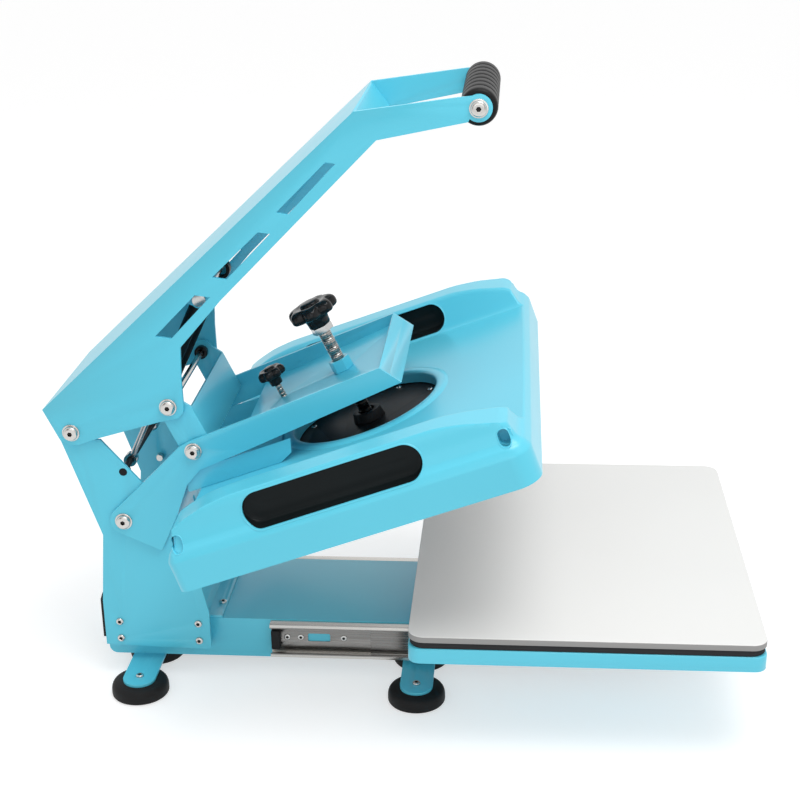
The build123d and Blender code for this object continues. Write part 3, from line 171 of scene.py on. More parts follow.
def start_tree(name, kind, inputs, outputs):
    """An input is a title, a type and perhaps a value. An output is a title and a type."""
    tree = bpy.data.node_groups.new(name, kind)
    for title, sort, *value in inputs:
        socket = tree.interface.new_socket(title, in_out="INPUT", socket_type=f"NodeSocket{sort}")
        if value:
            socket.default_value = value[0]
    for title, sort in outputs:
        tree.interface.new_socket(title, in_out="OUTPUT", socket_type=f"NodeSocket{sort}")
    return tree, add_node(tree, "NodeGroupInput").outputs, add_node(tree, "NodeGroupOutput").inputs


def start_group(name, inputs, outputs):
    inputs = [(title, "Float", value) for title, value in inputs.items()]
    return start_tree(name, "ShaderNodeTree", inputs, [(title, "Float") for title in outputs])


def input_names(tree):
    return {item.name: item.identifier for item in tree.interface.items_tree if item.in_out == "INPUT"}


def object_coords(tree):
    return add_node(tree, "ShaderNodeTexCoord").outputs["Object"]


def noise(tree, vector, scale, detail, rough=0.5):
    inputs = {"Vector": vector, "Scale": scale, "Detail": detail, "Roughness": rough}
    return add_node(tree, "ShaderNodeTexNoise", inputs).outputs["Fac"]


def calc(tree, kind, *values):
    return add_node(tree, "ShaderNodeMath", enumerate(values), operation=kind).outputs[0]


def mix_colour(tree, share, first, second):
    inputs = {"Factor": share, "A": first, "B": second}
    return add_node(tree, "ShaderNodeMix", inputs, data_type="RGBA").outputs["Result"]


def vary_roughness(tree, given, out, pattern):
    spread = calc(tree, "MULTIPLY", calc(tree, "SUBTRACT", pattern, 0.5), given["Spread"])
    plug(tree, out["Roughness"], calc(tree, "ADD", given["Roughness"], spread))


# %% [markdown]
# ### Powder coat skin
# Powder melts and flows in the oven, and freezes with a faint dimple that paint makers call
# orange peel. Two layers of noise make it: a slow one for the flow and a fine one for grain.
# The group hands back a height for the bump, a cloud for the tone and a roughness.

# %% Powder coat group
powder, given, out = start_group(
    "powder_skin",
    {"Peel Scale": 420.0, "Grain Scale": 2600.0, "Cloud Scale": 7.0, "Roughness": 0.4, "Spread": 0.08},
    ["Height", "Cloud", "Roughness"],
)
coords = object_coords(powder)
peel = noise(powder, coords, given["Peel Scale"], detail=1.0)
grain = noise(powder, coords, given["Grain Scale"], detail=0.0)
cloud = noise(powder, coords, given["Cloud Scale"], detail=2.0)
GRAIN_SHARE = 0.25
plug(powder, out["Height"], calc(powder, "MULTIPLY_ADD", grain, GRAIN_SHARE, peel))
plug(powder, out["Cloud"], cloud)
vary_roughness(powder, given, out, cloud)
print("powder coat group has", len(powder.nodes), "nodes")

# %% [markdown]
# ### Streaks on rolled and drawn metal
# Strip, tube and bar carry fine lines along the way they were rolled. Stretching a noise a
# hundredfold along one axis gives them. Which axis is a matter of the piece, so the group
# takes a stretch for each.

# %% Streak group
streak, given, out = start_group(
    "rolled_streaks",
    {"Along X": 6.0, "Along Y": 900.0, "Along Z": 900.0, "Roughness": 0.3, "Spread": 0.16},
    ["Height", "Line", "Roughness"],
)
axes = {axis: given[f"Along {axis}"] for axis in "XYZ"}
scale_axes = add_node(streak, "ShaderNodeCombineXYZ", axes).outputs[0]
inputs = {0: object_coords(streak), 1: scale_axes}
stretched = add_node(streak, "ShaderNodeVectorMath", inputs, operation="MULTIPLY")
line = noise(streak, stretched.outputs[0], 1.0, detail=2.0, rough=0.6)
plug(streak, out["Height"], line)
plug(streak, out["Line"], line)
vary_roughness(streak, given, out, line)
print("streak group has", len(streak.nodes), "nodes")

# %% [markdown]
# ### Handling marks
# A new machine still has faint hairline scratches and dust where hands and cloths have been.
# Thin slices of a warped noise look like scratches, and a coarse noise breaks them up so that
# they never form an even pattern.

# %% Handling marks group
HAIR_WIDTH, PATCH_FROM = 0.003, 0.56
marks, given, out = start_group("handling_marks", {"Scale": 40.0, "Amount": 0.5}, ["Scratch", "Dust"])
coords = object_coords(marks)
field = noise(marks, coords, given["Scale"], detail=4.0, rough=0.6)
off_middle = calc(marks, "ABSOLUTE", calc(marks, "SUBTRACT", field, 0.5))
thin = calc(marks, "LESS_THAN", off_middle, HAIR_WIDTH)
patch = calc(marks, "GREATER_THAN", noise(marks, coords, 9.0, detail=1.0), PATCH_FROM)
hair = calc(marks, "MULTIPLY", thin, patch)
specks = noise(marks, coords, 900.0, detail=2.0, rough=0.7)
dust = calc(marks, "MULTIPLY", specks, noise(marks, coords, 14.0, detail=2.0))
for title, pattern in (("Scratch", hair), ("Dust", dust)):
    plug(marks, out[title], calc(marks, "MULTIPLY", pattern, given["Amount"]))
print("handling marks group has", len(marks.nodes), "nodes")

# %% [markdown]
# ## Finishes
# A finish is a Principled shader fed by one skin group and by the handling marks. The plain
# numbers of the shader are set on its own sockets. Only what changes over the surface comes
# through nodes: tone, roughness and bump. A mark stored on the mesh, called recess, darkens
# the inside of screw sockets with painted shade.

# %% A finish from a skin group
DUST_COVER, DUST_TONE, DUST_AMOUNT = 0.3, 0.6, 0.16
SCRATCH_ROUGH, SCRATCH_DEPTH, PAINTED_SHADE_TONE = 0.3, 0.4, 0.04


def new_material(name, sockets):
    material = bpy.data.materials.new(name)
    material.use_nodes = True
    shader = material.node_tree.nodes["Principled BSDF"].inputs
    for socket, value in sockets.items():
        shader[socket.replace("_", " ")].default_value = value
    return material, material.node_tree, shader


def finish(name, colour, skin, numbers, tone, bump, depth, marks_amount=0.4, **sockets):
    """numbers are the inputs of the skin group, in their order. depth is in metres."""
    material, tree, shader = new_material(name, sockets)

    def tint(share, lift=0.0):
        return (*[min(1, c * share + lift) for c in colour], 1)

    skin_inputs = dict(zip(input_names(skin), numbers))
    coat = add_node(tree, "ShaderNodeGroup", skin_inputs, node_tree=skin).outputs
    worn = add_node(tree, "ShaderNodeGroup", {"Amount": marks_amount}, node_tree=marks).outputs
    varied = mix_colour(tree, coat[1], tint(1 - tone), tint(1 + tone))
    dust_share = calc(tree, "MULTIPLY", worn["Dust"], DUST_AMOUNT)
    dusty = mix_colour(tree, dust_share, varied, tint(1 - DUST_COVER, DUST_COVER * DUST_TONE))
    # Painted shade: where the recess mark is set, the colour falls to a small share of itself.
    inner = add_node(tree, "ShaderNodeAttribute", attribute_name="recess").outputs["Fac"]
    plug(tree, shader["Base Color"], mix_colour(tree, inner, dusty, tint(PAINTED_SHADE_TONE)))
    scratched = calc(tree, "MULTIPLY", worn["Scratch"], SCRATCH_ROUGH)
    plug(tree, shader["Roughness"], calc(tree, "ADD", coat["Roughness"], scratched))
    sunk = calc(tree, "MULTIPLY", worn["Scratch"], SCRATCH_DEPTH)
    height = calc(tree, "SUBTRACT", coat["Height"], sunk)
    relief = add_node(tree, "ShaderNodeBump", {"Strength": bump, "Distance": depth, "Height": height})
    plug(tree, shader["Normal"], relief.outputs["Normal"])
    return material


# %% [markdown]
# ### The colours of this press
# The frame is one bright aqua powder coat. The platen is off-white over aluminium, the pad
# charcoal, the knobs glossy black moulding, and the fasteners are stainless and zinc. The
# tones were read off plain lit areas, and the lamps below are set so that a colour comes out
# close to the way it is written here.

# %% Coats, rubbers and plastics
# The numbers of a powder skin: peel, grain and cloud scale, roughness, spread.
aqua = finish(
    "aqua_powder_coat", (0.105, 0.595, 0.765), powder, (330, 2400, 6, 0.3, 0.1),
    tone=0.03, bump=0.12, depth=0.0001, marks_amount=0.2,
    Specular_IOR_Level=0.45, Coat_Weight=0.14, Coat_Roughness=0.2,
)
platen_white = finish(
    "platen_coat", (0.8, 0.8, 0.785), powder, (900, 5200, 5, 0.55, 0.1),
    tone=0.018, bump=0.2, depth=0.00008, marks_amount=0.2,
)
pad_rubber = finish(
    "charcoal_pad", (0.028, 0.028, 0.03), powder, (1500, 5200, 18, 0.78, 0.12),
    tone=0.25, bump=0.6, depth=0.0003, Specular_IOR_Level=0.15,
)
foot_black = finish(
    "foot_rubber", (0.012, 0.012, 0.0125), powder, (700, 3800, 30, 0.55, 0.2),
    tone=0.3, bump=0.4, depth=0.00018, Specular_IOR_Level=0.15,
)
grip_black = finish(
    "grip_rubber", (0.008, 0.008, 0.0085), powder, (900, 3600, 30, 0.4, 0.14),
    tone=0.25, bump=0.3, depth=0.00012, Specular_IOR_Level=0.12,
)
knob_black = finish(
    "glossy_moulding", (0.006, 0.006, 0.0065), powder, (240, 1800, 22, 0.16, 0.1),
    tone=0.2, bump=0.16, depth=0.00012, marks_amount=0.5, Specular_IOR_Level=0.22,
)
black_enamel = finish(
    "black_enamel", (0.009, 0.009, 0.01), powder, (420, 2600, 9, 0.42, 0.14),
    tone=0.2, bump=0.18, depth=0.0001, Specular_IOR_Level=0.12,
)
liner_grey = finish(
    "liner_plastic", (0.006, 0.0095, 0.0105), powder, (500, 2600, 12, 0.34, 0.16),
    tone=0.25, bump=0.2, depth=0.0001, marks_amount=0.3, Specular_IOR_Level=0.1,
)
blanket_wool = finish(
    "ceramic_blanket", (0.72, 0.7, 0.63), powder, (260, 1500, 26, 0.95, 0.05),
    tone=0.12, bump=0.9, depth=0.0012, Sheen_Weight=0.3,
)
mica = finish(
    "mica_sheet", (0.36, 0.3, 0.21), powder, (120, 900, 40, 0.5, 0.2), tone=0.2, bump=0.3, depth=0.0002,
)
print(len(bpy.data.materials), "coats, rubbers and plastics")

# %% Metals
# The numbers of a streaked skin: scale along x, y and z, roughness, spread.
zinc = finish(
    "zinc_plate", (0.56, 0.56, 0.55), streak, (5, 1300, 1300, 0.24, 0.14),
    tone=0.08, bump=0.1, depth=0.00004, Metallic=1.0,
)
stainless = finish(
    "stainless_steel", (0.58, 0.565, 0.545), streak, (800, 40, 800, 0.2, 0.18),
    tone=0.1, bump=0.1, depth=0.00004, marks_amount=0.6, Metallic=1.0,
)
bright_bar = finish(
    "bright_bar", (0.42, 0.42, 0.42), streak, (900, 8, 900, 0.2, 0.14),
    tone=0.08, bump=0.08, depth=0.00004, Metallic=1.0,
)
thread_steel = finish(
    "thread_steel", (0.4, 0.385, 0.365), powder, (300, 2400, 60, 0.24, 0.2),
    tone=0.2, bump=0.08, depth=0.00005, marks_amount=0.3, Metallic=1.0,
)
slide_steel = finish(
    "slide_rail_steel", (0.27, 0.26, 0.25), streak, (3, 700, 500, 0.27, 0.2),
    tone=0.35, bump=0.12, depth=0.00006, marks_amount=0.5, Metallic=1.0,
)
cast_plate = finish(
    "cast_platen", (0.56, 0.56, 0.57), powder, (700, 3000, 10, 0.42, 0.2),
    tone=0.08, bump=0.25, depth=0.0001, marks_amount=0.8, Metallic=0.9,
)
print(len(bpy.data.materials), "finishes")


# %% [markdown]
# ## Folded sheet and blocks
# Laser-cut sheet has no razor edges: the cut is broken by hand and the coat flows round it.
# The solids have the right outline but dead-sharp corners, so each of these pieces is a
# merged copy of its solid with a small bevel on every real corner. A bevel catches the light
# along an edge, and that line of light is most of what makes metal look solid.

# %% Soften the edges of a solid
MERGE = 2e-6
FLAT_JOIN, REAL_CORNER = math.radians(0.5), math.radians(30)
END_TOP, END_BOTTOM = place(-19.2, 0, 417.0), place(6.6, 0, 400.2)
PROUD_FROM, PROUD_TO, END_LENGTH = 0.2 * MM, 2 * MM, 30 * MM


def merged_copy(node):
    work = bmesh.new()
    work.from_mesh(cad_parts[node].data)
    bmesh.ops.remove_doubles(work, verts=work.verts, dist=MERGE)
    return work


def grind_end_plate(work):
    """Grind the weld of the panel flush with the outer face of the arm's end plate."""
    along = (END_BOTTOM - END_TOP).normalized()
    out = Vector((-along.z, 0, along.x))
    for vert in work.verts:
        proud = (vert.co - END_TOP).dot(out)
        if PROUD_FROM < proud < PROUD_TO and 0 < (vert.co - END_TOP).dot(along) < END_LENGTH:
            vert.co -= out * proud


def soft_copy(name, node, width):
    work = merged_copy(node)
    if node == "arm_frame":
        grind_end_plate(work)
    bmesh.ops.dissolve_limit(
        work, angle_limit=FLAT_JOIN, verts=work.verts, edges=work.edges, use_dissolve_boundaries=False
    )
    mesh = bpy.data.meshes.new(name)
    work.to_mesh(mesh)
    work.free()
    thing = put_in_scene(name, mesh)
    bevel = thing.modifiers.new("soft_edges", "BEVEL")
    bevel.width = width * MM
    bevel.segments = 3
    bevel.limit_method = "ANGLE"
    bevel.angle_limit = REAL_CORNER
    bevel.harden_normals = True
    bevel.use_clamp_overlap = True
    mesh.shade_smooth()
    return keep_result(thing)


def dress_solids(groups):
    """A row is the name of the piece, the width of its soft edge in millimetres and its solid."""
    for body, slot, coat, rows in groups:
        for name, width, node in rows:
            dress(soft_copy(name, node, width), body, slot, coat, node)


# %% Dress the folded sheet
dress_solids([
    ("stand", "teal_coat", aqua, [
        ("press_base", 1.6, "base_channel"),
        ("foot_bars", 1.1, "foot_crossbars"),
        ("left_tower_plate", 0.8, "tower_plate_left"),
        ("right_tower_plate", 0.8, "tower_plate_right"),
        ("tower_packers", 0.6, "tower_spacer_bars"),
        ("tower_front_sheet", 0.8, "tower_bulkhead"),
    ]),
    ("stand", "black_plastic", knob_black, [("inlet_housing", 0.8, "power_inlet_box")]),
    ("stand", "foot_rubber", foot_black, [("rail_stops", 1.2, "slide_bumpers")]),
    ("stand", "black_steel", black_enamel, [("spring_foot_shaft", 0.6, "spring_lower_shaft")]),
    ("handle", "teal_coat", aqua, [("press_handle", 1.0, "handle_frame")]),
    ("handle", "zinc_steel", zinc, [
        ("spring_head_shaft", 0.6, "spring_upper_shaft"),
        ("grip_core", 0.4, "grip_bar"),
    ]),
    ("link", "teal_coat", aqua, [("toggle_plate", 0.9, "toggle_link")]),
    ("arm", "teal_coat", aqua, [("press_arm", 1.0, "arm_frame")]),
    ("head", "teal_coat", aqua, [("head_saddle", 0.8, "head_carrier")]),
    ("head", "raw_aluminium", cast_plate, [("upper_platen", 1.2, "heat_platen")]),
    ("head", "mica_sheet", mica, [("heater_film", 0.3, "heater_sheet")]),
    ("head", "fibre_blanket", blanket_wool, [("heat_blanket", 1.5, "insulation_blanket")]),
    ("head", "black_steel", black_enamel, [("heat_shield", 0.5, "shield_plate")]),
    ("head", "zinc_steel", zinc, [
        ("cover_pillars", 0.6, "cover_standoffs"),
        ("stack_studs", 0.5, "stack_posts"),
    ]),
    ("head", "black_steel", black_enamel, [("screw_socket", 0.8, "pressure_hub")]),
    ("head", "teal_coat", aqua, [("recess_cups", 0.5, "cover_recess_cups")]),
    ("drawer", "teal_coat", aqua, [("drawer_pan", 1.6, "drawer_tray")]),
    ("drawer", "silicone_pad", pad_rubber, [("drawer_pad", 1.2, "platen_pad")]),
    ("drawer", "teal_coat", aqua, [
        ("left_drawer_bracket", 0.8, "drawer_bracket_left"),
        ("right_drawer_bracket", 0.8, "drawer_bracket_right"),
    ]),
])

# %% [markdown]
# ## The head cover
# The cover is one moulded skin: a flat deck, a long hump on each side, a fold all round and a
# skirt below it. Boxes with bevels never give such a form, because every slope runs into the
# next with its own soft curve. It is easier to say how high the skin stands at each place.
# Broken lines give the height along and across a hump. Each is rounded by averaging it over
# a short reach, and the lines are then joined with a soft smallest and a soft largest.

# %% Heights of the cover
REAR, FRONT, HALF = -2.0, 416.0, 285.0
FOLD, DECK, TOP = 36.0, 45.0, 87.5


def eased(line, reach):
    spots, heights = zip(*line)
    steps = np.linspace(-reach, reach, 9)

    def height(distance):
        return np.mean([np.interp(distance + step, spots, heights) for step in steps], axis=0)

    return height


along_rear = eased([(-30, -54), (0, FOLD), (10, 66), (29, 74), (57, 82), (90, TOP), (700, TOP)], 5)
along_front = eased([(-30, -50), (0, FOLD), (9, 62), (22, 71.5), (58, 80.5), (95, TOP), (700, TOP)], 5)
across_outer = eased([(-30, -5), (0, FOLD), (11, 51), (15, 63), (18, 79.5), (22, TOP), (700, TOP)], 0.8)
across_inner = eased([(0, TOP), (53, TOP), (59, 81), (80, DECK), (120, -24), (700, -900)], 4)
deck_line = eased([(-30, -18), (0, FOLD), (5, DECK), (700, DECK)], 1.2)


def soft_least(a, b, blend):
    near = np.maximum(blend - np.abs(a - b), 0) / blend
    return np.minimum(a, b) - near * near * blend / 4


def cover_height(u, side_depth, depth):
    profile = soft_least(along_rear(u - REAR), along_front(FRONT - u), 8.0)
    section = soft_least(across_outer(depth), across_inner(side_depth), 1.6)
    hump = soft_least(profile, section, 2.0)
    blend = 0.5 + 6.5 * np.clip(depth / 14, 0, 1)
    return -soft_least(-hump, -deck_line(depth), blend)


print("hump top stands", round(float(cover_height(200, 37, 37) - DECK), 1), "mm over the deck")

# %% [markdown]
# ### A grid that follows the corners
# The skin needs close grid lines where it is steep, near the outer edge, and few on the flat
# deck. The corners are rounded in plan, so the square corner of the grid is bent to a quarter
# disc. The fold is a small curve of five rows, and the skirt hangs from its last row.

# %% Build the skin
CORNERS = ((REAR, -1, 12.0), (FRONT, 1, 26.0))
EDGE, FOLD_DROP = 1.2, 1.6


def edge_lines(length):
    bands = ((EDGE, 10, 1.0), (10, 26, 0.8), (26, 50, 4), (50, 86, 2), (86, length / 2, 7))
    return np.concatenate([np.arange(*band) for band in bands])


def bend_corners(u, y):
    u, y = u.copy(), y.copy()
    depth = np.minimum(np.minimum(u - REAR, FRONT - u), HALF - np.abs(y))
    out_u = np.where(u - REAR < EDGE + 1e-6, -1.0, np.where(FRONT - u < EDGE + 1e-6, 1.0, 0.0))
    out_y = np.where(HALF - np.abs(y) < EDGE + 1e-6, np.sign(y), 0.0)
    for end, way, radius in CORNERS:
        for side in (-1, 1):
            centre_u, centre_y = end - way * radius, side * (HALF - radius)
            a, b = (u - centre_u) * way / (radius - EDGE), (y - centre_y) * side / (radius - EDGE)
            inside = (a > 0) & (b > 0)
            a, b = a[inside], b[inside]
            na, nb = a * np.sqrt(1 - b * b / 2), b * np.sqrt(1 - a * a / 2)
            far = np.hypot(na, nb)
            u[inside] = centre_u + way * na * (radius - EDGE)
            y[inside] = centre_y + side * nb * (radius - EDGE)
            depth[inside] = radius - far * (radius - EDGE)
            out_u[inside], out_y[inside] = way * na / far, side * nb / far
    return u, y, depth, out_u, out_y


def grid_faces(rows, columns, closed=False):
    faces = []
    for r in range(rows - 1):
        for c in range(columns if closed else columns - 1):
            d = (c + 1) % columns
            low, high = r * columns, (r + 1) * columns
            faces.append((low + c, low + d, high + d, high + c))
    return faces


def build_cover_skin():
    half_u, half_y = edge_lines(FRONT - REAR), edge_lines(2 * HALF)
    u_lines = np.array([*(REAR + half_u), *(FRONT - half_u[::-1])])
    y_lines = np.array([*(-HALF + half_y), *(HALF - half_y[::-1])])
    u, y = np.meshgrid(u_lines, y_lines, indexing="ij")
    u, y, depth, out_u, out_y = bend_corners(u, y)
    v = cover_height(u, HALF - np.abs(y), depth)
    rows, columns = u.shape
    points = [on_head(*p) for p in zip(u.flat, y.flat, v.flat)]
    faces = grid_faces(rows, columns)
    rim = [(0, c) for c in range(columns)] + [(r, columns - 1) for r in range(1, rows)]
    rim += [(rows - 1, c) for c in range(columns - 2, -1, -1)]
    rim += [(r, 0) for r in range(rows - 2, 0, -1)]
    previous = [r * columns + c for r, c in rim]
    fold = [(share, None) for share in (0.25, 0.5, 0.75, 1.0)]
    skirt = [(1.0, level) for level in (22.0, 10.0, 0.0)]
    for share, skirt_level in fold + skirt:
        start = len(points)
        left = 1 - share
        push = (1 - left**2) * EDGE
        for r, c in rim:
            level = skirt_level
            if level is None:
                level = left**2 * v[r, c] + 2 * share * left * FOLD + share**2 * (FOLD - FOLD_DROP)
            points.append(on_head(u[r, c] + push * out_u[r, c], y[r, c] + push * out_y[r, c], level))
        current = list(range(start, start + len(rim)))
        for i in range(len(rim)):
            j = (i + 1) % len(rim)
            faces.append((previous[i], current[i], current[j], previous[j]))
        previous = current
    skin = make_object("cover_shell", points, faces)
    outward(skin)
    if sum(f.normal.dot(HEAD_UP) * f.area for f in skin.data.polygons) < 0:
        skin.data.flip_normals()
    return add_wall(skin, 2.6, -1)


cover = build_cover_skin()
print("cover skin:", len(cover.data.polygons), "faces")

# %% [markdown]
# ### Windows, screw recesses and the round opening
# All cuts are named by their outline on the side of the head. An outline keeps its centre
# line and its radius apart, so that the same list can be grown for a rolled rim or shrunk
# for the floor of a pan.

# %% Outlines and where they meet the skin
def stadium(centre_u, centre_v, length, height, upright=False, fine=1.0):
    radius, reach = min(length, height) / 2, abs(length - height) / 2
    spots = []
    for side in (1, -1):
        for angle in np.linspace(-90, 90, int(20 * fine), endpoint=False):
            turn = math.radians(angle if side > 0 else angle + 180)
            spots.append((side * reach, 0.0, math.cos(turn) * radius, math.sin(turn) * radius))
        for share in np.linspace(1, -1, int(30 * fine), endpoint=False):
            spots.append((side * reach * share, 0.0, 0.0, side * radius))
    spots = np.array(spots)
    if upright:
        spots = np.column_stack([-spots[:, 1], spots[:, 0], -spots[:, 3], spots[:, 2]])
    return centre_u + spots[:, 0], centre_v + spots[:, 1], spots[:, 2], spots[:, 3], radius


def grown(outline, amount):
    cu, cv, du, dv, radius = outline
    share = max(radius + amount, 0.0) / radius
    return cu + du * share, cv + dv * share


def meet_skin(u, v, inner):
    """The depth from the side at which the skin stands at height v, found by halving."""
    low, high = (np.full_like(u, spot) for spot in ((54.0, 88.0) if inner else (0.0, 24.0)))
    for _ in range(26):
        middle = (low + high) / 2
        depth = np.minimum(middle, np.minimum(u - REAR, FRONT - u))
        go_in = (cover_height(u, middle, depth) > v) == inner
        low, high = np.where(go_in, middle, low), np.where(go_in, high, middle)
    return (low + high) / 2


def loop_strip(rings):
    faces = grid_faces(len(rings), len(rings[0]), closed=True)
    return [p for ring in rings for p in ring], faces


def end_cap(rings, last=True):
    count = len(rings[0])
    start = (len(rings) - 1) * count if last else 0
    corners = range(start, start + count)
    return tuple(corners if last else reversed(corners))


RIM_STEPS = ((1.7, -0.25), (1.35, 0.2), (0.8, 0.5), (0.3, 0.35), (0.0, -0.3), (0.0, -1.2), (0.1, -6.0))


def at_depth(side, u, v, depth):
    return [on_head(a, side * (HALF - d), b) for a, b, d in zip(u, v, depth)]


def rim_rings(outline, side, inner, lip):
    way = -1.0 if inner else 1.0
    rings = []
    for amount, lift in RIM_STEPS:
        u, v = grown(outline, amount * lip)
        rings.append(at_depth(side, u, v, meet_skin(u, v, inner) - way * lift * lip))
    return rings


windows, recesses = [], []
for side in (-1, 1):
    windows.append((stadium(200, 61.5, 206, 38.5), side, False))
    windows.append((stadium(200, 64, 208, 35), side, True))
    for centre in ((15.5, 52.5), (392.5, 55.5)):
        recesses.append((stadium(*centre, 18.5, 12.5, upright=True, fine=0.5), side, False))
print(len(windows), "window outlines and", len(recesses), "recess outlines")


# %% Cut the skin
OPENING_CENTRE, OPENING_RADIUS, OPENING_POINTS = 205.0, 101.0, 128


def drum(near, far):
    count = len(near)
    caps = [tuple(range(count)), tuple(range(2 * count - 1, count - 1, -1))]
    return outward(make_object("cutter", near + far, grid_faces(2, count, closed=True) + caps))


def cutter(outline, side, start, stop):
    u, v = grown(outline, 0.15)
    return drum(*(at_depth(side, u, v, np.full_like(u, depth)) for depth in (start, stop)))


def ring_points(radius, level):
    turns = np.linspace(0, 2 * math.pi, OPENING_POINTS, endpoint=False)
    return [on_head(OPENING_CENTRE + radius * math.cos(t), radius * math.sin(t), level) for t in turns]


cutters = [cutter(outline, side, *((36, 90) if inner else (-6, 30))) for outline, side, inner in windows]
cutters += [cutter(outline, side, -6, 20) for outline, side, inner in recesses]
cutters.append(drum(ring_points(OPENING_RADIUS, 60.0), ring_points(OPENING_RADIUS, 20.0)))
for tool in cutters:
    cut = cover.modifiers.new("cut", "BOOLEAN")
    cut.operation = "DIFFERENCE"
    cut.solver = "EXACT"
    cut.object = tool
keep_result(cover)
for tool in cutters:
    bpy.data.objects.remove(tool)
print("cut cover:", len(cover.data.polygons), "faces")

# %% [markdown]
# ### Rolled rims and the collar
# A moulded skin never ends in a knife edge. Each cut gets a rim that stands half a
# millimetre proud and turns in, and the round opening gets a raised bead and a collar that
# hangs to just over the heat shield.

# %% Rims
def join_parts(main, others):
    work = bmesh.new()
    for part in [main, *others]:
        work.from_mesh(part.data)
    work.to_mesh(main.data)
    work.free()
    for part in others:
        bpy.data.objects.remove(part)
    return main


SMALL_LIP, LARGE_OUTLINE = 0.55, 10
rims = []
for outline, side, inner in windows + recesses:
    lip = 1.0 if outline[-1] > LARGE_OUTLINE else SMALL_LIP
    rim = make_object("rim", *loop_strip(rim_rings(outline, side, inner, lip)))
    rims.append(outward(add_wall(outward(rim), 0.5, 0)))
bead = [
    (109.5, 44.6), (107.5, 45.6), (105.0, 47.2), (102.5, 47.9), (99.0, 48.0), (96.0, 47.6), (94.0, 46.5),
    (93.1, 44.8), (93.0, 42.0), (93.0, 31.6), (95.9, 31.6), (96.0, 42.0), (104.0, 42.1), (109.5, 42.4),
]
collar = loop_strip([ring_points(radius, level) for radius, level in bead + bead[:1]])
rims.append(outward(make_object("rim", *collar)))
shade(join_parts(cover, rims), 50)
dress(cover, "head", "teal_coat", aqua, "head_cover")

# %% [markdown]
# ### Pans behind the windows
# Each window looks into a black pan. It follows the outline of the window, is some
# centimetres deep and has a rounded foot, which is why the light in it fades in a curve.

# %% Window pans
FLOOR_DEPTH = {False: 25.5, True: 51.0}
PAN_WALL, LEAST_DEPTH = 1.6, 6.5
WALL_STEPS = (2.2, 4.0, 6.0)
FOOT_STEPS = (
    (0.35, 6.0), (0.8, 3.6), (2.0, 1.7), (3.8, 0.6), (6.0, 0.1), (9.0, 0.0), (12.5, 0.0), (17.0, 0.0),
)
pans = []
for outline, side, inner in windows:
    way = -1.0 if inner else 1.0
    floor = FLOOR_DEPTH[inner] - PAN_WALL * way
    u, v = grown(outline, -0.35)
    depth = meet_skin(u, v, inner)
    rings = [at_depth(side, u, v, depth + way * back) for back in WALL_STEPS]
    for shrink, drop in FOOT_STEPS:
        if inner:
            level = np.minimum(floor + drop, depth - LEAST_DEPTH)
        else:
            level = np.maximum(floor - drop, depth + LEAST_DEPTH)
        rings.append(at_depth(side, *grown(outline, -shrink), level))
    points, faces = loop_strip(rings)
    pan = outward(make_object("pan", points, faces + [end_cap(rings)]))
    inward = Vector((0, -side * way, 0))
    if sum(p.normal.dot(inward) for p in pan.data.polygons if len(p.vertices) > 4) > 0:
        pan.data.flip_normals()
    pans.append(add_wall(pan, 1.2, -1))
liners = join_parts(pans[0], pans[1:])
liners.name = "window_pans"
dress(shade(liners, 60), "head", "black_steel", liner_grey, "window_liners")

# %% [markdown]
# ## Star knobs
# The two knobs are the same moulding in two sizes: a short hub, seven rounded lobes, and a
# dished top with a small raised cap. A row of radii turned about the stud gives the body, and
# each row says how strongly the lobes are felt at that height.

# %% Build the knobs
KNOB_ROWS = [
    (0.0, 0.30, 0), (0.0, 0.40, 0), (0.03, 0.425, 0), (0.20, 0.44, 0), (0.34, 0.47, 0),
    (0.385, 0.52, 0.1), (0.40, 0.66, 0.5), (0.415, 0.82, 0.85), (0.44, 0.915, 1), (0.48, 0.965, 1),
    (0.54, 0.995, 1), (0.62, 1.0, 1), (0.70, 0.99, 1), (0.77, 0.96, 1), (0.83, 0.90, 0.95),
    (0.87, 0.83, 0.8), (0.895, 0.75, 0.5), (0.90, 0.66, 0.2), (0.895, 0.58, 0.05), (0.875, 0.50, 0),
    (0.865, 0.44, 0), (0.87, 0.40, 0), (0.93, 0.385, 0), (0.965, 0.36, 0), (0.985, 0.31, 0),
    (0.998, 0.2, 0), (1.0, 0.1, 0), (1.0, 0.02, 0),
]
LOBES = 7


def star_knob(name, point, base, radius, height, turn):
    turns = np.linspace(0, 2 * math.pi, 168, endpoint=False)
    felt = (0.5 + 0.5 * np.cos(LOBES * (turns - turn))) ** 0.62
    rings = []
    for level, share, strength in KNOB_ROWS:
        radii = radius * share * (1 - 0.2 * strength * (1 - felt))
        across, sideways, up = radii * np.cos(turns), radii * np.sin(turns), base + height * level
        rings.append([tilted(point, SCREW_TILT, a, y, up) for a, y in zip(across, sideways)])
    points, faces = loop_strip(rings)
    faces += [end_cap(rings), end_cap(rings, last=False)]
    return shade(outward(make_object(name, points, faces)), 48)


PRESSURE_POINT, SMALL_POINT = (-79.0, 391.8), (-147.6, 341.3)
large = star_knob("large_star_knob", PRESSURE_POINT, 47.0, 32.0, 33.0, 0.3)
dress(large, "pressure_spindle", "black_plastic", knob_black, "pressure_knob")
small = star_knob("small_star_knob", SMALL_POINT, 18.0, 18.0, 24.0, 0.1)
dress(small, "small_spindle", "black_plastic", knob_black, "small_knob")

# %% [markdown]
# ## Screws set out by a node tree
# A machine is full of the same screw in many places. The solids say where: each loose part of
# a solid is one screw, so its seat, its head and its shank can be measured from it. One
# screw is then turned on a lathe, and a Geometry Nodes tree sets it on every seat, facing the
# right way and turned by its own chance amount, because nobody lines up their sockets. The
# alternative, a copy by hand for each place, always ends with one of them wrong.

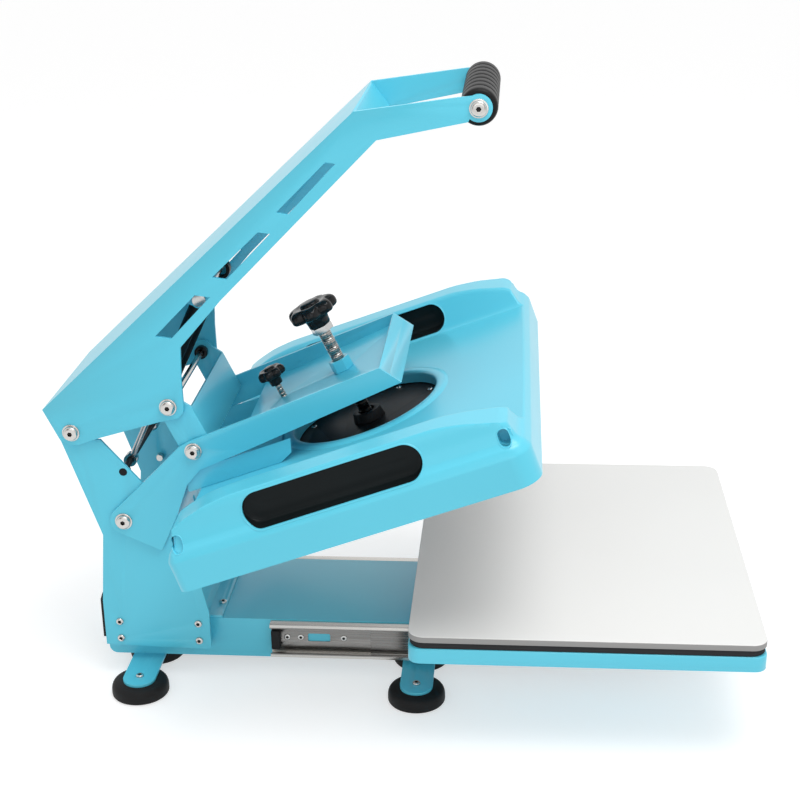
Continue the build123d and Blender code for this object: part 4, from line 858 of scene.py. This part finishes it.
# %% Measure the screws in a solid
def loose_parts(node):
    work = merged_copy(node)
    waiting, groups = set(work.verts), []
    for first in work.verts:
        if first not in waiting:
            continue
        waiting.remove(first)
        stack, group = [first], []
        while stack:
            vert = stack.pop()
            group.append(vert.co.copy())
            for edge in vert.link_edges:
                other = edge.other_vert(vert)
                if other in waiting:
                    waiting.remove(other)
                    stack.append(other)
        groups.append(np.array([tuple(p) for p in group]))
    work.free()
    return groups


AT_FOOT, HEAD_SHARE = 1e-5, 0.98


def sideways(middle):
    return Vector((0, 1 if middle[1] > 0 else -1, 0))


def upright(middle):
    return Vector((0, 0, 1))


def head_up(middle):
    return HEAD_UP.copy()


def measure_screws(node, facing):
    """Sort the screws of a solid by their sizes, each with its seat and the way it faces."""
    found = {}
    for points in loose_parts(node):
        middle = (points.min(0) + points.max(0)) / 2
        way = np.array(facing(middle))
        along = points @ way
        foot = along < along.min() + AT_FOOT
        tip = points[foot].mean(0)
        away = points - tip
        away = np.linalg.norm(away - np.outer(away @ way, way), axis=1)
        seat = along[away > away.max() * HEAD_SHARE].min()
        sizes = (away.max(), along.max() - seat, away[foot].max(), seat - along.min())
        key = tuple(round(float(s), 4) for s in sizes)
        found.setdefault(key, []).append((tip + way * (seat - along.min()), way))
    return found


tower = measure_screws("tower_screws", sideways)
print("screws measured in the tower:", {sizes: len(seats) for sizes, seats in tower.items()})

# %% [markdown]
# ### Turning one fastener
# A row gives a radius and a height. The socket is a hexagon, so its rows bend the circle to
# six flats. The same lathe turns a screw, a washer or a rubber foot.

# %% The lathe
# The recess mark paints shade into sockets and onto the thread below the panel.
def mark_painted_shade(thing, values):
    recess = thing.data.attributes.new("recess", "FLOAT", "POINT")
    recess.data.foreach_set("value", values)


def turned(name, rows, segments=48, flats=(), painted_shade_rows=()):
    """A lathe. The rows in flats are hexagons, the rows of painted shade are marked as a recess."""
    turns = np.linspace(0, 2 * math.pi, segments, endpoint=False)
    six = 1 / np.cos((turns % (math.pi / 3)) - math.pi / 6) * math.cos(math.pi / 6)
    rings = []
    for index, (radius, level) in enumerate(rows):
        reach = radius * (six if index in flats else 1.0)
        x, y = reach * np.cos(turns), reach * np.sin(turns)
        rings.append(np.column_stack([x, y, np.full(segments, level)]))
    points, faces = loop_strip(rings)
    faces += [end_cap(rings, last=False), end_cap(rings)]
    thing = make_object(name, points, faces)
    mark_painted_shade(thing, [1.0 if i // segments in painted_shade_rows else 0.0 for i in range(len(points))])
    return shade(outward(thing, 1e-8), 34)


def socket_screw(name, r, h, shank, length, socket=0.5, deep=0.55, dome=0.45):
    """r and h are the head's radius and height. socket is the width of the key, deep its depth
    and dome the rounded part, each as a share of the head."""
    key = r * socket
    rows = [
        (shank * 0.82, -length), (shank, -length * 0.94), (shank, 0.0), (r * 0.97, 0.0), (r, h * 0.06),
        (r, h * (0.84 - dome)), (r * 0.975, h * (0.95 - dome * 0.8)), (r * 0.92, h * (1 - dome * 0.55)),
        (r * 0.83, h * (1 - dome * 0.3)), (r * 0.72, h * (1 - dome * 0.11)), (r * 0.64, h * 0.99),
        (key * 1.14, h), (key * 1.05, h * 0.985), (key, h * 0.93), (key, h * (1 - deep)),
        (key * 0.2, h * (0.93 - deep)),
    ]
    # The wall and floor of the socket are marked for painted shade.
    return turned(name, rows, flats=(12, 13, 14), painted_shade_rows=(14, 15))


# %% The tree that sets them out
def end_tree(tree, shape, given, out):
    """Make the instances real and give them the finish."""
    real = add_node(tree, "GeometryNodeRealizeInstances", {"Geometry": shape}).outputs["Geometry"]
    inputs = {"Geometry": real, "Material": given["Finish"]}
    plug(tree, out["Geometry"], add_node(tree, "GeometryNodeSetMaterial", inputs).outputs["Geometry"])
    return tree


def run_tree(holder, tree, **values):
    """Set the named inputs by their identifiers and keep what the tree makes."""
    modifier = holder.modifiers.new(tree.name, "NODES")
    modifier.node_group = tree
    for title, value in values.items():
        modifier[input_names(tree)[title.replace("_", " ")]] = value
    return keep_result(holder)


def setting_tree():
    inputs = [
        ("Geometry", "Geometry"), ("Fastener", "Object"), ("Spin", "Float", 1.0), ("Size", "Float", 1.0),
        ("Seed", "Int", 7), ("Finish", "Material"),
    ]
    tree, given, out = start_tree("set_on_seats", "GeometryNodeTree", inputs, [("Geometry", "Geometry")])

    def step(kind, wires, output, **settings):
        return add_node(tree, kind, wires, **settings).outputs[output]

    stored = {"Name": "facing"}
    facing = step("GeometryNodeInputNamedAttribute", stored, "Attribute", data_type="FLOAT_VECTOR")
    align = step("FunctionNodeAlignRotationToVector", {"Vector": facing}, "Rotation", axis="Z")
    full_turn = {2: 0.0, 3: 2 * math.pi, "Seed": given["Seed"]}
    chance = step("FunctionNodeRandomValue", full_turn, 1, data_type="FLOAT")
    angle = calc(tree, "MULTIPLY", chance, given["Spin"])
    about = step("FunctionNodeAxisAngleToRotation", {"Axis": (0, 0, 1), "Angle": angle}, "Rotation")
    fastener = {"Object": given["Fastener"]}
    piece = step("GeometryNodeObjectInfo", fastener, "Geometry", transform_space="ORIGINAL")
    points = step("GeometryNodeMeshToPoints", {"Mesh": given["Geometry"]}, "Points")
    wires = {"Points": points, "Instance": piece, "Rotation": align, "Scale": given["Size"]}
    seats = step("GeometryNodeInstanceOnPoints", wires, "Instances")
    turn = step("GeometryNodeRotateInstances", {"Instances": seats, "Rotation": about}, "Instances")
    return end_tree(tree, turn, given, out)


SETTING = setting_tree()


def set_out(name, seats, fastener, coat, seed):
    holder = make_object(name, [spot for spot, way in seats], [])
    facing = holder.data.attributes.new("facing", "FLOAT_VECTOR", "POINT")
    facing.data.foreach_set("vector", [c for spot, way in seats for c in way])
    run_tree(holder, SETTING, Fastener=fastener, Spin=1.0, Size=1.0, Seed=seed, Finish=coat)
    bpy.data.objects.remove(fastener)
    return holder


def screw_set(name, node, facing, coat, seed, shape):
    sets = [
        set_out(name, seats, socket_screw("one_screw", *sizes, **shape), coat, seed)
        for sizes, seats in measure_screws(node, facing).items()
    ]
    whole = join_parts(sets[0], sets[1:])
    whole.name = name
    marked = sum(1 for item in whole.data.attributes["recess"].data if item.value > 0.5)
    print(f"{name}: {marked} points in sockets")
    return shade(whole, 34)


print("setting tree has", len(SETTING.nodes), "nodes")

# %% [markdown]
# ### Which screws go where
# Small screws are plated, pivot bolts are stainless and larger. Each set rides on the body
# whose solid it stands for.

# %% Set out the screws and bolts
PIVOT_BOLT = {"socket": 0.33, "dome": 0.34}
BUTTON_HEAD = {"dome": 0.5}
SCREW_SETS = [
    ("foot_socket_screws", "stand", "zinc_steel", "foot_screws", upright, zinc, 3, {}),
    ("tower_button_screws", "stand", "zinc_steel", "tower_screws", sideways, stainless, 5, BUTTON_HEAD),
    ("front_sheet_screws", "stand", "zinc_steel", "bulkhead_screws", upright, zinc, 8, {}),
    ("rail_pan_screws", "stand", "zinc_steel", "slide_rail_screws", sideways, zinc, 11, {"deep": 0.45}),
    ("tower_bolts", "stand", "polished_steel", "tower_pivot_bolts", sideways, stainless, 2, PIVOT_BOLT),
    ("handle_bolts", "handle", "polished_steel", "handle_pin_bolts", sideways, stainless, 6, PIVOT_BOLT),
    ("arm_bolts", "arm", "polished_steel", "arm_pin_bolts", sideways, stainless, 9, PIVOT_BOLT),
    ("shield_button_screws", "head", "zinc_steel", "shield_screws", head_up, zinc, 4, BUTTON_HEAD),
]
for name, body, slot, node, facing, coat, seed, form in SCREW_SETS:
    dress(screw_set(name, node, facing, coat, seed, form), body, slot, None, node)

# %% [markdown]
# ### Rubber feet
# A foot is a squat moulding: a short upright rim, a soft slope and a flat sole that is broken
# at its edge. Eight of them sit under the two foot bars, four to a bar.

# %% Set out the feet
FOOT_ROWS = [
    (31.6, 0.0), (33.0, 0.25), (34.1, 0.9), (34.8, 1.9), (35.0, 3.2), (34.9, 9.0), (34.5, 11.5),
    (33.8, 13.6), (32.6, 15.4), (31.0, 16.6), (29.4, 17.2), (28.6, 17.35), (28.0, 17.5), (27.4, 18.0),
    (12.0, 18.0),
]
foot = turned("one_foot", [(r * MM, z * MM) for r, z in FOOT_ROWS], segments=72)
foot_seats = [(place(x, y, 0), (0, 0, 1)) for x in (-320, 22) for y in (-138, -42, 42, 138)]
feet = shade(set_out("foot_pads", foot_seats, foot, foot_black, seed=1), 40)
dress(feet, "stand", "foot_rubber", None, "rubber_feet")

# %% [markdown]
# ## Threads along a helix
# A thread is one ridge wound round a core. Curve Spiral gives the winding and a small
# diamond gives the ridge. The tree takes the pitch and the length by name, so the thick
# pressure screw and the thin stud of the small knob share it. Below the panel, in the shade
# under it, the thread gets painted shade from the same mark as in the sockets.

# %% The thread tree
RIDGE_SHARE = 0.42
SHADE_PAINTED_BELOW = -12 * MM


def thread_tree():
    numbers = (("Root Radius", 0.0072), ("Ridge", 0.0007), ("Pitch", 0.0016), ("Length", 0.1))
    inputs = [("Geometry", "Geometry"), *[(title, "Float", value) for title, value in numbers]]
    inputs += [("Start", "Vector"), ("Lean", "Vector"), ("Finish", "Material")]
    tree, given, out = start_tree("wound_thread", "GeometryNodeTree", inputs, [("Geometry", "Geometry")])
    root, length = given["Root Radius"], given["Length"]

    def step(kind, wires, output="Geometry"):
        return add_node(tree, kind, wires).outputs[output]

    radii = {"Start Radius": root, "End Radius": root}
    winding = {"Resolution": 20, "Rotations": calc(tree, "DIVIDE", length, given["Pitch"]), "Height": length}
    spiral = step("GeometryNodeCurveSpiral", {**winding, **radii}, "Curve")
    diamond = {"Resolution": 4, "Radius": given["Ridge"]}
    ridge = step("GeometryNodeCurvePrimitiveCircle", diamond, "Curve")
    sweep = {"Fill Caps": True, "Curve": spiral, "Profile Curve": ridge}
    wound = step("GeometryNodeCurveToMesh", sweep, "Mesh")
    core = step("GeometryNodeMeshCylinder", {"Vertices": 40, "Radius": root, "Depth": length}, "Mesh")
    lift = step("ShaderNodeCombineXYZ", {"Z": calc(tree, "MULTIPLY", length, 0.5)}, 0)
    raised = step("GeometryNodeTransform", {"Geometry": core, "Translation": lift})
    both = add_node(tree, "GeometryNodeJoinGeometry")
    for part in (wound, raised):
        tree.links.new(part, both.inputs["Geometry"])
    leaned = {"Geometry": both.outputs["Geometry"], "Translation": given["Start"], "Rotation": given["Lean"]}
    return end_tree(tree, step("GeometryNodeTransform", leaned), given, out)


THREAD = thread_tree()


def thread(name, point, low, high, radius, pitch, coat):
    holder = make_object(name, [(0, 0, 0)], [])
    ridge = pitch * RIDGE_SHARE
    run_tree(
        holder, THREAD, Root_Radius=(radius - ridge) * MM, Ridge=ridge * MM, Pitch=pitch * MM,
        Length=(high - low) * MM, Start=tuple(tilted(point, SCREW_TILT, 0, 0, low)),
        Lean=(0.0, -SCREW_TILT, 0.0), Finish=coat,
    )
    start = tilted(point, SCREW_TILT, 0, 0, 0)
    heights = [(v.co - start).dot(SCREW_UP) for v in holder.data.vertices]
    # Painted shade on the thread below the panel.
    mark_painted_shade(holder, [1.0 if height < SHADE_PAINTED_BELOW else 0.0 for height in heights])
    return shade(holder, 30)


pressure = thread("pressure_thread", PRESSURE_POINT, -81.0, 52.5, 8.0, 2.0, thread_steel)
dress(pressure, "pressure_spindle", "zinc_steel", None, "pressure_screw")
fine = thread("small_thread", SMALL_POINT, -19.5, 20.5, 4.0, 1.5, thread_steel)
dress(fine, "small_spindle", "zinc_steel", None, "small_screw")

# %% [markdown]
# ## The grip
# A moulded sleeve has a few broad ribs with tight grooves between them, and a rounded lip at
# each end. Its radius along the bar is one short rule: it swells over each rib and drops in
# the groove.

# %% Turn the grip
GRIP_SPOT, GRIP_HALF, RIBS, RIB_STEPS = (94.0, 714.0), 100.9, 8, 16
GROOVE_RADIUS, RIB_SWELL, END_RUN = 18.2, 2.7, 0.6


def grip_radius(share):
    inside = (share * RIBS) % 1.0
    return GROOVE_RADIUS + RIB_SWELL * (1 - abs(2 * inside - 1) ** 4) ** 0.7


rows = [(9.0, -GRIP_HALF), (15.0, -GRIP_HALF), (17.0, -GRIP_HALF + 0.2)]
for step in range(RIBS * RIB_STEPS + 1):
    share = step / (RIBS * RIB_STEPS)
    rows.append((grip_radius(share), (-GRIP_HALF + END_RUN) + share * 2 * (GRIP_HALF - END_RUN)))
rows += [(17.0, GRIP_HALF - 0.2), (15.0, GRIP_HALF), (9.0, GRIP_HALF)]
turns = np.linspace(0, 2 * math.pi, 72, endpoint=False)
centre_x, centre_z = GRIP_SPOT
rings = [
    [place(centre_x + radius * math.cos(t), along, centre_z + radius * math.sin(t)) for t in turns]
    for radius, along in rows
]
points, faces = loop_strip(rings)
faces += [end_cap(rings, last=False), end_cap(rings)]
sleeve = shade(outward(make_object("grip_sleeve", points, faces)), 60)
dress(sleeve, "handle", "grip_rubber", grip_black, "grip")

# %% [markdown]
# ## The printing platen
# The platen is an aluminium plate with a pale baked coat on its top, and its machined edge
# is left bare. A mask from the height above the floor tells the two apart, so a single finish
# covers both and the line between them is as sharp as on the real plate.

# %% Two faces, one finish
COAT_FROM, BARE_EDGE = 149.35 * MM, (0.3, 0.295, 0.29, 1)


def height_and_base(material):
    """The height above the floor, the colour socket and what it draws so far."""
    tree = material.node_tree
    base = tree.nodes["Principled BSDF"].inputs["Base Color"]
    height = add_node(tree, "ShaderNodeSeparateXYZ", {0: object_coords(tree)}).outputs["Z"]
    return tree, height, base, base.links[0].from_socket


tree, height, base, drawn = height_and_base(platen_white)
coated = calc(tree, "GREATER_THAN", height, COAT_FROM)
plug(tree, base, mix_colour(tree, coated, BARE_EDGE, drawn))
platen = soft_copy("print_platen", "lower_platen", 1.0)
dress(platen, "drawer", "platen_coat", platen_white, "lower_platen")

# %% [markdown]
# ## Turned and rolled pieces
# The rest are nuts, washers, bushings, shafts and slide rails. Their solids already have the
# right outline, and a fine bevel gives them the edge light of machined steel. The rolled lips
# of a slide get a painted highlight, a lighter colour than its flat web.

# %% Painted highlight on the slide lips
SLIDE_MIDDLE, PAINTED_HIGHLIGHT_FROM, PAINTED_LIP_HIGHLIGHT = 51 * MM, 19.0 * MM, (0.62, 0.6, 0.57, 1)
tree, height, base, drawn = height_and_base(slide_steel)
off_middle = calc(tree, "ABSOLUTE", calc(tree, "SUBTRACT", height, SLIDE_MIDDLE))
# Painted highlight: the lips above and below the middle of the web get a lighter colour.
lip = calc(tree, "GREATER_THAN", off_middle, PAINTED_HIGHLIGHT_FROM)
plug(tree, base, mix_colour(tree, lip, drawn, PAINTED_LIP_HIGHLIGHT))
print("slide finish has", len(tree.nodes), "nodes")

# %% Dress the small pieces
dress_solids([
    ("stand", "zinc_steel", slide_steel, [
        ("left_outer_rail", 0.5, "slide_outer_rail_left"),
        ("right_outer_rail", 0.5, "slide_outer_rail_right"),
    ]),
    ("stand", "zinc_steel", stainless, [("tower_washers", 0.3, "tower_pivot_washers")]),
    ("stand", "black_plastic", knob_black, [("tower_bushes", 0.4, "tower_pivot_spacers")]),
    ("handle", "zinc_steel", stainless, [("handle_washers", 0.3, "handle_pin_washers")]),
    ("handle", "polished_steel", stainless, [("link_rod", 0.4, "link_shaft")]),
    ("link", "black_plastic", knob_black, [("link_bushes", 0.5, "link_bushings")]),
    ("arm", "zinc_steel", stainless, [("arm_washers", 0.3, "arm_pin_washers")]),
    ("arm", "teal_coat", aqua, [("welded_nut", 0.6, "pressure_nut")]),
    ("arm", "zinc_steel", zinc, [("stud_nut", 0.4, "small_nut")]),
    ("pressure_spindle", "zinc_steel", zinc, [("jam_nut", 0.5, "pressure_jam_nut")]),
    ("spring_rods", "polished_steel", bright_bar, [("spring_rods", 0.3, "gas_spring_rods")]),
    ("spring_cylinders", "black_steel", black_enamel, [("spring_tubes", 0.6, "gas_spring_cylinders")]),
    ("drawer", "zinc_steel", slide_steel, [("slide_inner_strips", 0.4, "slide_inner_members")]),
    ("slide_middles", "zinc_steel", slide_steel, [("slide_middle_strips", 0.4, "slide_middle_members")]),
])
bare = [n for n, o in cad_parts.items() if not o.hide_render]
print("solids still bare:", bare)

# %% [markdown]
# ## The room
# A plain pale floor, a large soft lamp overhead and a fill from the front give the flat, even
# light of a studio table. The world is white for the camera, for mirrors and for clear
# pieces, and dimmer for everything else, so pale parts keep their tone.

# %% Floor
SQUARE = [(0, 1, 2, 3)]
FLOOR_REACH = 9


def seen_rays(tree):
    """1 for rays of the camera, of mirrors and of clear pieces, 0 for all others."""
    path = add_node(tree, "ShaderNodeLightPath").outputs
    seen = calc(tree, "MAXIMUM", path["Is Camera Ray"], path["Is Glossy Ray"])
    return calc(tree, "MAXIMUM", seen, path["Is Transmission Ray"])


corners = [(x * FLOOR_REACH, y * FLOOR_REACH, 0) for x, y in ((-1, -1), (1, -1), (1, 1), (-1, 1))]
floor = make_object("studio_floor", corners, SQUARE)
matt = {"Roughness": 0.9, "Specular IOR Level": 0.1, "Emission Color": (1, 1, 1, 1)}
floor_coat, tree, shader = new_material("studio_floor_paint", matt)
seen = seen_rays(tree)
paint = mix_colour(tree, seen, (0.93, 0.93, 0.93, 1), (0.62, 0.62, 0.62, 1))
plug(tree, shader["Base Color"], paint)
plug(tree, shader["Emission Strength"], calc(tree, "MULTIPLY", seen, 0.56))
floor.data.materials.append(floor_coat)
print("floor of", 2 * FLOOR_REACH, "m")


# %% Lamps
def lamp(name, spot, aim, size, watts):
    light = bpy.data.lights.new(name, "AREA")
    light.shape = "RECTANGLE"
    light.size, light.size_y = size
    light.energy = watts
    thing = put_in_scene(name, light)
    thing.location = spot
    thing.rotation_euler = (Vector(aim) - Vector(spot)).to_track_quat("-Z", "Y").to_euler()
    print(f"{name}: {watts} W")


lamp("overhead_softbox", (0.55, -0.6, 2.4), (0.0, 0.0, 0.2), (1.5, 1.3), 30)
lamp("front_softbox", (0.2, -2.9, 1.3), (0.0, 0.0, 0.3), (2.4, 1.6), 8)

# %% [markdown]
# ### Dark cards
# In an all white room bright steel looks like chalk. Photographers stand narrow black cards
# beside the camera, so that every dome and lip has something dark to mirror. Only mirrored
# rays meet these cards, so from other sides they never stand in the picture.

# %% Cards beside and above the camera
CARD_Y = -2.6
card_black, tree, shader = new_material("card_black", {"Base Color": (0.01, 0.01, 0.01, 1), "Roughness": 1.0})
for label, low_x, high_x, low_z, high_z in (
    ("left_card", -1.9, -1.3, 0.1, 2.2),
    ("right_card", 1.7, 2.2, 0.1, 2.2),
    ("top_card", -1.2, 1.6, 2.25, 2.9),
):
    spots = ((low_x, low_z), (high_x, low_z), (high_x, high_z), (low_x, high_z))
    card = make_object(label, [(x, CARD_Y, z) for x, z in spots], SQUARE)
    card.data.materials.append(card_black)
    card.visible_camera = card.visible_diffuse = card.visible_shadow = False
    print(f"{label} stands at y {CARD_Y} m")

# %% A white world
world = bpy.data.worlds.new("studio_white")
world.use_nodes = True
scene.world = world
sky = world.node_tree
background = sky.nodes["Background"].inputs
background["Color"].default_value = (1, 1, 1, 1)
strength = calc(sky, "ADD", calc(sky, "MULTIPLY", seen_rays(sky), 0.5), 0.66)
plug(sky, background["Strength"], calc(sky, "MINIMUM", strength, 1.0))
print("world has", len(sky.nodes), "nodes")

# %% [markdown]
# ## The camera
# The place of the camera was found from points whose real positions are known: the pivots,
# the ends of the grip and the corners of the platen. A long lens about two metres away
# gives the gentle convergence of a product picture.

# %% Camera
CAMERA_SPOT, CAMERA_ANGLES, CAMERA_LENS = (0.1358, -1.7386, 1.0015), (-4.595, 20.826, 0.862), 68.313
yaw, pitch, roll = (math.radians(angle) for angle in CAMERA_ANGLES)
forward = Vector((math.sin(yaw) * math.cos(pitch), math.cos(yaw) * math.cos(pitch), -math.sin(pitch)))
level_right = Vector((math.cos(yaw), -math.sin(yaw), 0))
level_down = forward.cross(level_right)
right = math.cos(roll) * level_right + math.sin(roll) * level_down
down = -math.sin(roll) * level_right + math.cos(roll) * level_down
camera_data = bpy.data.cameras.new("product_camera")
camera_data.lens = CAMERA_LENS
camera_data.sensor_width = 36
camera = put_in_scene("product_camera", camera_data)
turned_view = Matrix((right, -down, -forward)).transposed().to_4x4()
camera.matrix_world = Matrix.Translation(CAMERA_SPOT) @ turned_view
scene.camera = camera
scene.view_settings.view_transform = "Standard"
distance = (camera.location - Vector((0, 0, 0.3))).length
print("camera stands", round(distance, 2), "m from the press")
